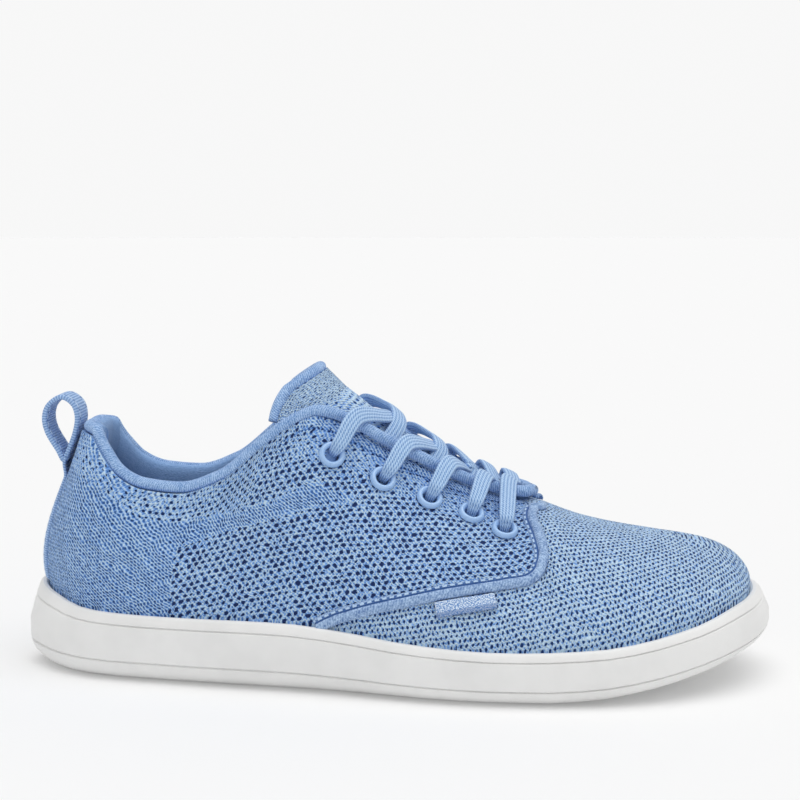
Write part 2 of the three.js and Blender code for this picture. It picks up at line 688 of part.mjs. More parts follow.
function bindingSeat(w) {
  const { at, out, climb } = seat(w, 1);
  const { t } = walk(w);
  const down = THREE.MathUtils.smoothstep(t, station(0.34), station(0.42));
  const end = THREE.MathUtils.smoothstep(t, station(0.62), throatEnd);
  const turn = THREE.MathUtils.degToRad(BINDING_TURN * down + (90 - BINDING_TURN) * end);
  const reach = BINDING_DIAMETER / 2 + 3.8 * CLEARANCE;
  const middle = at.clone().addScaledVector(out, -wallAt(w, 1) / 2 * (1 - down));
  middle.addScaledVector(climb, reach * Math.cos(turn)).addScaledVector(out, reach * Math.sin(turn));
  return { at: middle, out };
}

function bindingGeometry() {
  const steps = 76;
  const path = Array.from({ length: steps }, (_, i) => bindingSeat(throatEnd * (2 * i / steps - 1)));
  return sweep(path, polygon(BINDING_DIAMETER / 2, 6), true);
}

// Tongue: follows the inside of the upper beside the throat and arches across it. Across
// runs from -1 at the outer edge to 1 at the inner edge, rise from 0 at the vamp to 1 at
// the free top.
const TONGUE_FOOT = 0.745;
const TONGUE_HEAD = 0.36;
const FREE_FROM = 0.74;
const TONGUE_GAP = 1.5;
const ARCH_FULLNESS = 1.12;
const ARCH_LEAN = 10;

function tongueSkin(rise, across) {
  const bound = Math.min(rise / FREE_FROM, 1);
  const free = Math.max(rise - FREE_FROM, 0) / (1 - FREE_FROM);
  const t = THREE.MathUtils.lerp(station(TONGUE_FOOT), station(TONGUE_HEAD), bound);
  const under = (side, up) => {
    const w = side === -1 ? t : 2 - t;
    const { at, out } = seat(w, up);
    return at.addScaledVector(out, -(wallAt(w, up) + TONGUE_GAP));
  };
  const side = across < 0 ? -1 : 1;
  const reach = TONGUE_REACH * (1 - 0.35 * free);
  let point;
  if (Math.abs(across) > 0.5) {
    const w = side === -1 ? t : 2 - t;
    const low = upBelowTop(w, reach);
    point = under(side, THREE.MathUtils.lerp(1, low, (Math.abs(across) - 0.5) * 2));
  } else {
    const [from, to] = [under(-1, 1), under(1, 1)];
    const wide = from.distanceTo(to) * ARCH_FULLNESS;
    const lean = new THREE.Vector3(ARCH_LEAN * bound, 0, 0);
    const leave = from.clone().sub(under(-1, 0.97)).normalize().multiplyScalar(wide / 3).add(lean);
    const enter = to.clone().sub(under(1, 0.97)).normalize().multiplyScalar(wide / 3).add(lean);
    point = new THREE.CubicBezierCurve3(from, from.clone().add(leave), to.clone().add(enter), to)
      .getPoint(across + 0.5);
  }
  const dip = 1 - 0.4 * Math.cos(across * Math.PI / 2) ** 2;
  point.x -= TONGUE_RISE * free * dip;
  point.z += TONGUE_RISE * free * dip;
  point.y *= 1 - 0.2 * free ** 0.6;
  return point;
}

function tongueSeat(rise, across) {
  const step = 0.02;
  const at = tongueSkin(rise, across);
  const [low, high] = [Math.max(rise - step, 0), Math.min(rise + step, 1)];
  const [left, right] = [Math.max(across - step, -1), Math.min(across + step, 1)];
  const along = tongueSkin(high, across).sub(tongueSkin(low, across));
  const over = tongueSkin(rise, right).sub(tongueSkin(rise, left));
  return { at, out: over.cross(along).normalize(), climb: along.normalize() };
}

function tongueGeometry() {
  const columns = Array.from({ length: 4 * TONGUE_COLUMNS + 1 }, (_, i) => i / (2 * TONGUE_COLUMNS) - 1)
    .filter((_, i) => i % 2 === 0 || Math.abs(i / (2 * TONGUE_COLUMNS) - 1) < 0.5);
  const rises = Array.from({ length: 15 }, (_, i) => i / 14);
  const rings = rises.map((rise) => {
    const seats = columns.map((across) => tongueSeat(rise, across));
    const face = seats.map(({ at }) => at);
    const back = seats.map(({ at, out }) => at.clone().addScaledVector(out, -TONGUE_THICKNESS));
    return [...face, ...back.reverse()];
  });
  return outside(skin(rings, { tipped: false }));
}

function tongueBindingGeometry() {
  const radius = BINDING_DIAMETER / 2;
  const lift = radius + 4 * CLEARANCE;
  const path = Array.from({ length: 19 }, (_, i) => {
    const { at, out, climb } = tongueSeat(1, i / 9 - 1);
    return { at: at.addScaledVector(out, -TONGUE_THICKNESS / 2).addScaledVector(climb, lift), out };
  });
  return sweep(path, polygon(radius, 6));
}

// Lace: flat, over the binding and the tongue. A crossing is two strands, each from above
// an eyelet to the far side of the tongue, joined where the second lies on the first.
const LACE_SECTION = [[-0.5, -0.25], [0, -0.5], [0.5, -0.25], [0.5, 0.25], [0, 0.5], [-0.5, 0.25]]
  .map(([s, o]) => [s * LACE_WIDTH, o * LACE_THICKNESS]);
const overEyelet = CLEARANCE * 5 + EYELET_HEIGHT + LACE_THICKNESS / 2;
const overBinding = BINDING_DIAMETER * 0.85 + CLEARANCE * 8 + LACE_THICKNESS / 2;
const overTongue = CLEARANCE * 2 + LACE_THICKNESS / 2;

const riseAt = (t) => FREE_FROM * THREE.MathUtils.inverseLerp(station(TONGUE_FOOT), station(TONGUE_HEAD), t);
const lifted = ({ at, out }, height) => ({ at: at.clone().addScaledVector(out, height), out });

function aboveBinding(side, t) {
  const { at, out, climb } = seat(onSide(side, t), 1);
  return lifted({ at: at.addScaledVector(climb, BINDING_DIAMETER / 2), out }, overBinding);
}

function lacePath(keys) {
  const course = new THREE.CatmullRomCurve3(keys.map(({ at }) => at), false, 'centripetal');
  const outs = new THREE.CatmullRomCurve3(keys.map(({ out }) => out), false, 'centripetal');
  const steps = 3 * (keys.length - 1);
  return Array.from({ length: steps + 1 }, (_, i) => ({
    at: course.getPoint(i / steps),
    out: outs.getPoint(i / steps).normalize(),
  }));
}

function strand(side, number, over) {
  const [from, to] = [EYELETS[number].base, EYELETS[number + 1].base].map(station);
  const toward = (share) => THREE.MathUtils.lerp(from, to, share);
  const taken = BINDING_DIAMETER + LACE_WIDTH / 2 + LACE_THICKNESS * 2.2;
  const far = 0.5 * Math.max(0.06, 1 - taken / topHalf(toward(0.72)));
  const cross = (share, across, height) => lifted(tongueSeat(riseAt(toward(share)), across * side), height);
  return lacePath([
    lifted(eyeletSeat(side, number), overEyelet),
    aboveBinding(side, toward(0.15)),
    cross(0.4, far, overTongue + LACE_RIDE + over),
    cross(0.55, 0, overTongue + LACE_RIDE * 0.4 + over),
    cross(0.69, -far, overTongue + over * 0.6),
  ]);
}

function crossingGeometry(n) {
  const lap = LACE_THICKNESS * 0.85;
  const first = sweep(strand(-1, n, 0), LACE_SECTION);
  const second = sweep(strand(1, n, lap), LACE_SECTION);
  return fromManifold(toManifold(first).add(toManifold(second)));
}

function barGeometry() {
  const last = EYELETS.length - 1;
  const t = station(EYELETS[last].base);
  const half = [-1, 1].map((side) => [
    lifted(eyeletSeat(side, last), overEyelet),
    aboveBinding(side, t),
  ]);
  const middle = lifted(tongueSeat(riseAt(t), 0), overBinding + TONGUE_GAP);
  return sweep(lacePath([...half[0], middle, ...half[1].reverse()]), LACE_SECTION);
}

// Seam band: a raised fold on the upper, from the throat's end round to the sole
function bandGeometry(side) {
  const steps = 26;
  const course = new THREE.CatmullRomCurve3(BAND_PATH.map((row) => new THREE.Vector3(row.base, row.up, 0)));
  const path = Array.from({ length: steps + 1 }, (_, i) => {
    const here = course.getPoint(i / steps);
    return lifted(seat(onSide(side, station(here.x)), here.y), CLEARANCE * 2.3);
  });
  const half = BAND_WIDTH / 2;
  return sweep(path, [[-half, 0], [half, 0], [half * 0.5, BAND_HEIGHT], [-half * 0.5, BAND_HEIGHT]]);
}

// Side tag: a small folded tag that lies on the outer side under the seam band
function tagGeometry() {
  const falling = BAND_PATH.filter((row) => row.up < 0.4).reverse();
  const bandUp = (base) => between(falling.map((row) => row.base), falling.map((row) => row.up), base);
  const below = BAND_WIDTH / 2 + CLEARANCE * 2 + TAG_DROP / 2;
  const path = [-0.5, 0, 0.5].map((share) => {
    const base = TAG_AT + share * TAG_LENGTH / SOLE_LENGTH;
    const w = station(base);
    const wallLength = upperPoint(w, 0).distanceTo(upperPoint(w, 1));
    return lifted(seat(w, bandUp(base) - below / wallLength), CLEARANCE * 1.7);
  });
  const half = TAG_DROP / 2;
  return sweep(path, [[-half, 0], [half, 0], [half, TAG_THICKNESS], [-half, TAG_THICKNESS]]);
}

// Heel tape: webbing that follows the back seam from the rim to the foot of the loop
function tapeGeometry() {
  const spread = 0.055;
  const columns = [-1, -0.5, 0, 0.5, 1];
  const ups = [0.05, 0.16, 0.28, 0.4, 0.52, 0.64, 0.74];
  const rings = ups.map((up) => {
    const seats = columns.map((share) => {
      const wanted = WEB_WIDTH / 2 * share;
      let w = spread * share;
      for (let k = 0; k < 8 && share !== 0; k += 1) w *= wanted / upperPoint(w, up).y;
      return seat(w, up);
    });
    const near = seats.map((place) => lifted(place, CLEARANCE).at);
    const far = seats.map((place) => lifted(place, CLEARANCE + WEB_THICKNESS * 0.7).at);
    return [...near, ...far.reverse()];
  });
  return outside(skin(rings, { tipped: false }));
}

// Pull loop: a drop-shaped ring of webbing that stands at the back of the collar. Its
// course is given from the foot, as shares of the loop's width and height.
const LOOP_COURSE = [
  { back: 0.00, up: 0.00 },
  { back: 0.15, up: 0.15 },
  { back: 0.42, up: 0.42 },
  { back: 0.50, up: 0.65 },
  { back: 0.38, up: 0.85 },
  { back: 0.04, up: 0.97 },
  { back: -0.28, up: 0.86 },
  { back: -0.38, up: 0.65 },
  { back: -0.30, up: 0.40 },
  { back: -0.13, up: 0.15 },
];

function loopGeometry() {
  const foot = lifted(seat(0, 0.8), CLEARANCE * 2 + WEB_THICKNESS).at;
  const points = LOOP_COURSE.map(({ back, up }) => new THREE.Vector3(
    foot.x - back * LOOP_WIDTH, 0, foot.z + up * LOOP_HEIGHT));
  const course = new THREE.CatmullRomCurve3(points, true, 'centripetal');
  const middle = new THREE.Vector3(foot.x - 0.12 * LOOP_WIDTH, 0, foot.z + 0.6 * LOOP_HEIGHT);
  const steps = 22;
  const path = Array.from({ length: steps }, (_, i) => {
    const at = course.getPoint(i / steps);
    return { at, out: at.clone().sub(middle).normalize() };
  });
  const [half, thick] = [WEB_WIDTH / 2, WEB_THICKNESS / 2];
  return sweep(path, [[-half, -thick], [half, -thick], [half, thick], [-half, thick]], true);
}

// Finishes
const knit = new THREE.MeshStandardMaterial({ color: 0x8fb0da, roughness: 0.95, metalness: 0 });
const ribbed = new THREE.MeshStandardMaterial({ color: 0x9ebce2, roughness: 0.9, metalness: 0 });
const webbing = new THREE.MeshStandardMaterial({ color: 0x86a8d4, roughness: 0.85, metalness: 0 });
const cord = new THREE.MeshStandardMaterial({ color: 0x8dafdb, roughness: 0.85, metalness: 0 });
const ring = new THREE.MeshStandardMaterial({ color: 0xa3c0e8, roughness: 0.4, metalness: 0 });
const rubber = new THREE.MeshStandardMaterial({ color: 0xf1f1ee, roughness: 0.6, metalness: 0 });
const foam = new THREE.MeshStandardMaterial({ color: 0x7c9cc8, roughness: 1, metalness: 0 });

const sneaker = new THREE.Group();
function piece(name, geometry, material) {
  const mesh = new THREE.Mesh(geometry, material);
  mesh.name = name;
  sneaker.add(mesh);
}

piece('sole', soleGeometry(), rubber);
piece('insole', insoleGeometry(), foam);
piece('upper', upperGeometry(), knit);
piece('tongue', tongueGeometry(), knit);
piece('tongue_binding', tongueBindingGeometry(), ribbed);
piece('topline_binding', bindingGeometry(), ribbed);
piece('seam_band_outer', bandGeometry(-1), ribbed);
piece('seam_band_inner', bandGeometry(1), ribbed);
piece('side_tag', tagGeometry(), webbing);
piece('heel_tape', tapeGeometry(), webbing);
piece('pull_loop', loopGeometry(), webbing);
eyeletSeats.forEach((place) => {
  const name = `eyelet_${place.side === -1 ? 'outer' : 'inner'}_${place.number + 1}`;
  piece(name, eyeletGeometry(place), ring);
});
piece('lace_bar', barGeometry(), cord);
for (let n = 0; n + 1 < EYELETS.length; n += 1) {
  piece(`lace_crossing_${n + 1}`, crossingGeometry(n), cord);
}

// The origin is at the middle of the sole's length and width, on the ground
const widths = around.map((w) => rimPoint(w).y);
sneaker.position.set(-SOLE_LENGTH / 2, -(Math.min(...widths) + Math.max(...widths)) / 2, 0);
sneaker.updateMatrixWorld(true);

export default sneaker;
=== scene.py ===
import functools
import math

import bmesh
import bpy
from mathutils import Matrix, Vector


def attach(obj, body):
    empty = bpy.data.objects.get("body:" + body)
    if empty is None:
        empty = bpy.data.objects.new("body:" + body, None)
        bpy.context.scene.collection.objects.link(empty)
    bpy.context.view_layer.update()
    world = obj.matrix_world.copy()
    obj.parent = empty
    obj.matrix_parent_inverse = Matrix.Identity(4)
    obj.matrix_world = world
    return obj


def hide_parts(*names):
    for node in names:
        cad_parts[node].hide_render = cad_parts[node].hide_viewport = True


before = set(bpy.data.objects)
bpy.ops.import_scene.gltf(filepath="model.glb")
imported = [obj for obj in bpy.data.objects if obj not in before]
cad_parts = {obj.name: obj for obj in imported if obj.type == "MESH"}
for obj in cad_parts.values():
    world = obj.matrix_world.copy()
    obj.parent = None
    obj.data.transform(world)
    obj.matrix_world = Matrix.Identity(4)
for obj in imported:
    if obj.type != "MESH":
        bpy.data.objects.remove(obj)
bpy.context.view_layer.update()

# Camera. It looks at the outer side of the shoe from a hand's breadth above the floor and
# a little from the toe, so close that the far side of the collar stands well above the near.
azimuth, elevation, reach = math.radians(3), math.radians(11.5), 0.62
focus, focus_pixel, image_side, focal_pixels = Vector((0, 0, 0.040)), (394.5, 558.5), 800, 1716


def gaze(around, down):
    """Direction that looks across the shoe, turned towards the heel and tipped down."""
    level = math.cos(down)
    return Vector((-math.sin(around) * level, math.cos(around) * level, -math.sin(down)))


camera_data = bpy.data.cameras.new("camera")
camera_data.sensor_width = 36
camera_data.lens = camera_data.sensor_width * focal_pixels / image_side
camera_data.clip_start = 0.01
camera = bpy.data.objects.new("camera", camera_data)
camera.location = focus - reach * gaze(azimuth, elevation)
yaw = math.atan((image_side / 2 - focus_pixel[0]) / focal_pixels)
tip = math.atan((focus_pixel[1] - image_side / 2) / focal_pixels)
camera.rotation_euler = gaze(azimuth - yaw, elevation - tip).to_track_quat("-Z", "Y").to_euler()
bpy.context.scene.collection.objects.link(camera)
bpy.context.scene.camera = camera

# Sole: one white rubber cup with a rounded lip, two thin moulded lines round its wall and
# a patterned tread. It is moulded in one piece, so it keeps the solid's own shape.
sole_length, ball_width, seat_width = 270, 104, 71
rim_height, floor_height, rim_tuck, rim_wall, clearance = 24, 15, 4.5, 3, 0.3
outline = (  # share of the length, then the outer and inner edge as shares of the width
    (0, 0, 0),
    (0.026, 0.218, 0.218),
    (0.061, 0.345, 0.338),
    (0.119, 0.448, 0.437),
    (0.19, 0.505, 0.475),
    (0.26, 0.53, 0.452),
    (0.33, 0.531, 0.396),
    (0.4, 0.524, 0.357),
    (0.475, 0.534, 0.354),
    (0.55, 0.555, 0.373),
    (0.62, 0.573, 0.401),
    (0.69, 0.579, 0.421),
    (0.76, 0.567, 0.417),
    (0.83, 0.524, 0.394),
    (0.89, 0.452, 0.354),
    (0.93, 0.38, 0.306),
    (0.965, 0.284, 0.236),
    (0.988, 0.168, 0.144),
    (1, 0, 0),
)
lengthwise = (  # share of the length, then the rim, the floor and the rim's tuck
    (0, 1.27, 1.03, 1),
    (0.04, 1.13, 1.02, 0.8),
    (0.1, 1.01, 1, 0.5),
    (0.2, 0.985, 0.99, 0.35),
    (0.35, 1, 0.95, 0.35),
    (0.43, 0.94, 0.87, 0.35),
    (0.52, 0.82, 0.77, 0.35),
    (0.64, 0.755, 0.67, 0.35),
    (0.76, 0.8, 0.66, 0.35),
    (0.88, 1, 0.8, 0.45),
    (0.96, 1.22, 1, 0.75),
    (1, 1.31, 1.12, 0.95),
)


def between(xs, ys, x):
    """Smooth value between the rows of a table, with no overshoot."""
    last = len(xs) - 1
    at = min(max(x, xs[0]), xs[last])
    i = 0
    while i < last - 1 and at > xs[i + 1]:
        i += 1
    chord = lambda k: (ys[k + 1] - ys[k]) / (xs[k + 1] - xs[k])

    def slope(k):
        if k in (0, last):
            return chord(0 if k == 0 else last - 1)
        before, after = chord(k - 1), chord(k)
        return 0 if before * after <= 0 else 2 * before * after / (before + after)

    span = xs[i + 1] - xs[i]
    s = (at - xs[i]) / span
    rise = s * s * (3 - 2 * s)
    enter = s * (1 - s) ** 2 * slope(i) * span
    leave = s * s * (s - 1) * slope(i + 1) * span
    return ys[i] * (1 - rise) + ys[i + 1] * rise + enter + leave


def station(along):
    """Place along the sole from 0 at the heel to 1 at the toe, crowded at both round ends."""
    return math.acos(1 - 2 * along) / math.pi


def along_of(t):
    return (1 - math.cos(math.pi * t)) / 2


def column(table, number, factor=lambda row: 1):
    """Smooth track of one column of a table over the stations of its first column."""
    xs = [station(row[0]) for row in table]
    ys = [row[number] * factor(row) for row in table]
    return functools.cache(lambda t: between(xs, ys, t))


def eased(low, high, x):
    share = min(max((x - low) / (high - low), 0), 1)
    return share * share * (3 - 2 * share)


def local_width(row):
    return seat_width + (ball_width - seat_width) * eased(0.15, 0.6, row[0])


edges = {-1: column(outline, 1, lambda row: -local_width(row)), 1: column(outline, 2, local_width)}
rim_at, floor_at, tuck_at = (
    column(lengthwise, number, lambda row, size=size: size)
    for number, size in ((1, rim_height), (2, floor_height), (3, rim_tuck))
)


def walk(w):
    """Round the outline: out along the outer side to the toe at 1, back along the inner side."""
    turn = w % 2
    return (-1, turn) if turn <= 1 else (1, 2 - turn)


@functools.cache
def rim_point(w):
    side, t = walk(w)
    return Vector((sole_length * along_of(t), edges[side](t), 0))


@functools.cache
def edge_run(w):
    return (rim_point(w + 0.004) - rim_point(w - 0.004)).normalized()


def inset_point(w, inset):
    run = edge_run(w)
    return rim_point(w) + Vector((-run.y, run.x, 0)) * inset


widths = [rim_point(k / 38).y for k in range(76)]
middle = (min(widths) + max(widths)) / 2


def in_frame(p):
    """From the maker's millimetres, with the heel at 0, to metres in the shared frame."""
    return Vector(((p.x - sole_length / 2) / 1000, (p.y - middle) / 1000, p.z / 1000))


class Wire:
    """A socket of a material, so that its maths is written as an expression."""

    def __init__(self, tree, socket=None):
        self.tree, self.socket = tree, socket

    def node(self, kind, settings=(), inputs=(), out=0):
        made = self.tree.nodes.new(kind)
        for name, value in dict(settings).items():
            if name == "stops":
                made.color_ramp.interpolation = "LINEAR"
                while len(made.color_ramp.elements) < len(value):
                    made.color_ramp.elements.new(1)
                for element, (place, colour) in zip(made.color_ramp.elements, value):
                    element.position, element.color = place, colour
            else:
                setattr(made, name, value)
        for name, value in dict(inputs).items():
            if isinstance(value, Wire):
                self.tree.links.new(value.socket, made.inputs[name])
            else:
                made.inputs[name].default_value = value
        return Wire(self.tree, made.outputs[out])

    def math(self, operation, *values):
        return self.node("ShaderNodeMath", {"operation": operation}, enumerate(values))

    def __abs__(self):
        return self.math("ABSOLUTE", self)

    def fract(self):
        return self.math("FRACT", self)

    def split(self):
        parts = self.node("ShaderNodeSeparateXYZ", {}, {0: self}).socket.node
        return [Wire(self.tree, part) for part in parts.outputs]

    def __add__(self, other):
        return self.math("ADD", self, other)

    def __radd__(self, other):
        return self.math("ADD", other, self)

    def __sub__(self, other):
        return self.math("SUBTRACT", self, other)

    def __rsub__(self, other):
        return self.math("SUBTRACT", other, self)

    def __mul__(self, other):
        return self.math("MULTIPLY", self, other)

    def __rmul__(self, other):
        return self.math("MULTIPLY", other, self)

    def __truediv__(self, other):
        return self.math("DIVIDE", self, other)

    def __pow__(self, other):
        return self.math("POWER", self, other)


def ramped(value, low, high):
    """Smooth step of a value from 0 at low to 1 at high."""
    inputs = {"Value": value, "From Min": low, "From Max": high}
    return value.node("ShaderNodeMapRange", {"interpolation_type": "SMOOTHSTEP"}, inputs)


def blended(share, first, second):
    """Mix of two numbers."""
    return share.node("ShaderNodeMix", {"data_type": "FLOAT"}, {0: share, 2: first, 3: second})


def tinted(share, first, second):
    """Mix of two colours."""
    settings = {"data_type": "RGBA", "clamp_factor": True}
    return share.node("ShaderNodeMix", settings, {0: share, 6: first, 7: second}, out=2)


def tone(red, green, blue):
    """Colour for a socket from the values of a colour card, 0 to 255."""
    card = [value / 255 for value in (red, green, blue)]
    return (*(v / 12.92 if v <= 0.04045 else ((v + 0.055) / 1.055) ** 2.4 for v in card), 1)


def blank(name):
    """New material: its first wire, its shader's inputs and a function that links them."""
    material = bpy.data.materials.new(name)
    material.use_nodes = True
    tree = material.node_tree
    shader = tree.nodes["Principled BSDF"].inputs

    def feed(socket, value):
        if isinstance(value, Wire):
            tree.links.new(value.socket, shader[socket])
        else:
            shader[socket].default_value = value

    return material, Wire(tree), feed


def relief(height, depth, over=None):
    inputs = {"Strength": 1, "Distance": depth, "Height": height}
    if over:
        inputs["Normal"] = over
    return height.node("ShaderNodeBump", {}, inputs)


def finished(name, shape, materials, slot, *nodes, sharp=None):
    """Piece from a bmesh, smooth and in its materials, in place of its solids."""
    mesh = bpy.data.meshes.new(name)
    for edge in shape.edges:
        edge.smooth = not sharp or edge.calc_face_angle(0) < math.radians(sharp)
    shape.to_mesh(mesh)
    shape.free()
    mesh.shade_smooth()
    for material in materials:
        mesh.materials.append(material)
    piece = bpy.data.objects.new(name, mesh)
    bpy.context.scene.collection.objects.link(piece)
    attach(piece, "root")
    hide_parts(*nodes)
    return piece


rubber, wire, feed = blank("moulded rubber")
place = wire.node("ShaderNodeTexCoord", out="Object")
mottle = wire.node("ShaderNodeTexNoise", {}, {"Vector": place, "Scale": 60, "Detail": 3})
grain = wire.node("ShaderNodeTexNoise", {}, {"Vector": place, "Scale": 1400, "Detail": 2})
feed("Base Color", tinted(ramped(mottle, 0.3, 0.7), tone(233, 233, 232), tone(239, 239, 238)))
feed("Roughness", 0.42 + 0.12 * mottle)
feed("Normal", relief(grain, 0.00004))
feed("Subsurface Weight", 0.08)
feed("Subsurface Radius", (0.004, 0.004, 0.004))
cup = bmesh.new()
cup.from_mesh(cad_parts["sole"].data)
bmesh.ops.remove_doubles(cup, verts=cup.verts, dist=1e-6)
sole = finished("cup_sole", cup, [rubber], "sole_rubber", "sole", sharp=38)
carried = sole.data.attributes.get("custom_normal")
if carried:  # normals of the CAD mesh, smooth over the tread's edges
    sole.data.attributes.remove(carried)

# Insole: a sheet of foam under brushed cloth, cut to the cup's floor and laid in loose.
# Its top edge is rounded over.
insole_thickness, wall = 4, 2.4


def foot_inset(t):
    return tuck_at(t) + rim_wall + clearance


def grid_shape(columns, rows, place, zones=False):
    """Grid whose points are put in place by two shares from 0 to 1, joined where they meet."""
    shape = bmesh.new()
    bmesh.ops.create_grid(shape, x_segments=columns, y_segments=rows, size=1)
    weave = shape.verts.layers.float_vector.new("weave")
    zone = shape.verts.layers.float_vector.new("zone") if zones else None
    collar = shape.verts.layers.float.new("collar") if zones else None
    for vert in shape.verts:
        found = place((vert.co.x + 1) / 2, (vert.co.y + 1) / 2)
        vert.co, vert[weave] = in_frame(found[0]), found[1]
        if zones:
            vert[zone], vert[collar] = found[2:]
    bmesh.ops.remove_doubles(shape, verts=shape.verts, dist=2e-6)
    return shape


def insole_place(across, along):
    t = along
    out, inside = (inset_point(w, foot_inset(t) + wall + clearance * 1.5) for w in (t, 2 - t))
    share = (across - 0.5) * 2
    ring = abs(share)
    spot = out.lerp(inside, (1 + math.copysign(min(ring / 0.9, 1), share)) / 2)
    rounding = eased(0.9, 1, ring) * (insole_thickness - 0.8) if ring > 0.9 else 0
    fall = eased(0.80, 0.9, ring) ** 3 * 0.7 + rounding
    spot.z = floor_at(t) + clearance + insole_thickness - fall
    return spot, Vector((spot.x, spot.y, 0))


cloth, wire, feed = blank("insole cloth")
place = wire.node("ShaderNodeTexCoord", out="Object")
nap = wire.node("ShaderNodeTexNoise", {}, {"Vector": place, "Scale": 900, "Detail": 3})
shade = wire.node("ShaderNodeTexNoise", {}, {"Vector": place, "Scale": 40, "Detail": 2})
feed("Base Color", tinted(nap * 0.6 + shade * 0.5, tone(70, 98, 146), tone(122, 154, 200)))
feed("Roughness", 0.95)
feed("Sheen Weight", 0.2)
feed("Normal", relief(nap, 0.0002))
insole_shape = grid_shape(40, 90, insole_place)
bmesh.ops.recalc_face_normals(insole_shape, faces=insole_shape.faces)
insole = finished("insole_sheet", insole_shape, [cloth], "insole_foam", "insole")

# Upper: one knitted sock of light blue yarn, open mesh on the quarters and the vamp, dense
# round the heel, padded at the collar. It is pulled over a last and set into the cup.
heel_height, instep_height, toe_height, ankle_width = 87.5, 93.5, 48.5, 52
throat_end, collar_pad, pad_reach = station(0.712), 2.2, 30
sections = (  # foot, top edge, half width, height, lift, belly, crown, lean
    (0, 0.078, 0, 0.972 * heel_height, 0.3, 0.1, 0.34, 0),
    (0.02, 0.083, 0.17, 0.98 * heel_height, 0.3, 0.09, 0.32, 6),
    (0.06, 0.101, 0.31, 0.97 * heel_height, 0.31, 0.08, 0.3, 14),
    (0.09, 0.119, 0.375, 0.89 * heel_height, 0.32, 0.06, 0.28, 16),
    (0.12, 0.141, 0.43, 0.813 * heel_height, 0.33, 0.06, 0.28, 16),
    (0.155, 0.174, 0.465, 0.766 * heel_height, 0.34, 0.05, 0.28, 14),
    (0.2, 0.222, 0.49, 0.752 * heel_height, 0.34, 0.04, 0.28, 12),
    (0.25, 0.274, 0.5, 0.802 * heel_height, 0.34, 0.03, 0.28, 12),
    (0.3, 0.337, 0.5, 0.896 * instep_height, 0.34, 0, 0.28, 16),
    (0.33, 0.372, 0.485, 0.967 * instep_height, 0.34, 0, 0.28, 22),
    (0.355, 0.4, 0.46, 0.998 * instep_height, 0.34, 0, 0.28, 30),
    (0.38, 0.424, 0.415, 0.98 * instep_height, 0.34, 0, 0.3, 38),
    (0.405, 0.447, 0.385, 0.945 * instep_height, 0.34, 0, 0.32, 44),
    (0.45, 0.489, 0.355, 0.873 * instep_height, 0.34, 0, 0.34, 50),
    (0.5, 0.531, 0.325, 0.81 * instep_height, 0.34, 0, 0.36, 55),
    (0.55, 0.568, 0.295, 0.755 * instep_height, 0.36, 0.01, 0.4, 60),
    (0.6, 0.604, 0.255, 0.71 * instep_height, 0.38, 0.02, 0.44, 66),
    (0.655, 0.644, 0.195, 0.672 * instep_height, 0.4, 0.03, 0.5, 74),
    (0.69, 0.668, 0.12, 0.655 * instep_height, 0.42, 0.04, 0.56, 82),
    (0.712, 0.681, 0, 0.648 * instep_height, 0.44, 0.04, 0.62, 90),
    (0.8, 0.746, 0, 1.116 * toe_height, 0.46, 0.06, 0.64, 90),
    (0.88, 0.8, 0, 1.046 * toe_height, 0.44, 0.08, 0.62, 90),
    (0.94, 0.838, 0, 1.01 * toe_height, 0.38, 0.08, 0.56, 90),
    (0.98, 0.863, 0, 0.994 * toe_height, 0.32, 0.07, 0.5, 90),
    (1, 0.882, 0, 0.984 * toe_height, 0.28, 0.06, 0.46, 90),
)
top_along = column(sections, 1, lambda row: sole_length)
top_half = column(sections, 2, lambda row: ankle_width)
top_height = column(sections, 3)
handle_lift, handle_belly, handle_crown = (column(sections, n) for n in (4, 5, 6))
handle_lean = column(sections, 7, lambda row: math.pi / 180)


@functools.cache
def bow(w):
    """The four points of the curve that the wall follows at one place round the outline."""
    side, t = walk(w)
    foot = inset_point(w, foot_inset(t))
    foot.z = rim_at(t)
    closed = t >= throat_end
    top = Vector((top_along(t), 0, top_height(t)))
    top.y = 3 * eased(0.4, 0.85, top.x / sole_length) + (0 if closed else side * top_half(t))
    run = edge_run(w)
    out = Vector((run.y, -run.x, 0))
    down = Vector((foot.x - top.x, 0, foot.z - top.z))
    size = down.length
    lower = foot + Vector((0, 0, handle_lift(t) * size)) + out * handle_belly(t) * size
    crown, lean = handle_crown(t), handle_lean(t)
    sideways = max(size, abs(foot.y - top.y)) if closed else size
    upper = top + down * crown * math.cos(lean) + out * crown * math.sin(lean) * sideways
    return foot, lower, upper, top


def upper_point(w, up):
    a, b, c, d = bow(round(w, 7))
    rest = 1 - up
    return a * rest**3 + b * (3 * up * rest**2) + c * (3 * up * up * rest) + d * up**3


def seat(w, up):
    """Frame on the outside of the upper: a point, then the ways out, up and along."""
    low, high = max(up - 0.01, 0), min(up + 0.01, 1)
    climb = (upper_point(w, high) - upper_point(w, low)).normalized()
    run = upper_point(w + 0.01, up) - upper_point(w - 0.01, up)
    out = run.cross(climb).normalized()
    return upper_point(w, up), out, climb, climb.cross(out).normalized()


def wall_at(w, up):
    t = walk(w)[1]
    from_top = (1 - up) * (top_height(t) - rim_at(t))
    padded = 1 - eased(pad_reach * 0.3, pad_reach, from_top)
    return wall + collar_pad * padded * (1 - eased(station(0.2), station(0.31), t))


def up_below_top(w, distance):
    """Share of the wall's height that lies a distance below the top edge."""
    up, walked, before = 1, 0, upper_point(w, 1)
    while walked < distance and up > 0:
        up -= 0.01
        here = upper_point(w, up)
        walked += (here - before).length
        before = here
    return up


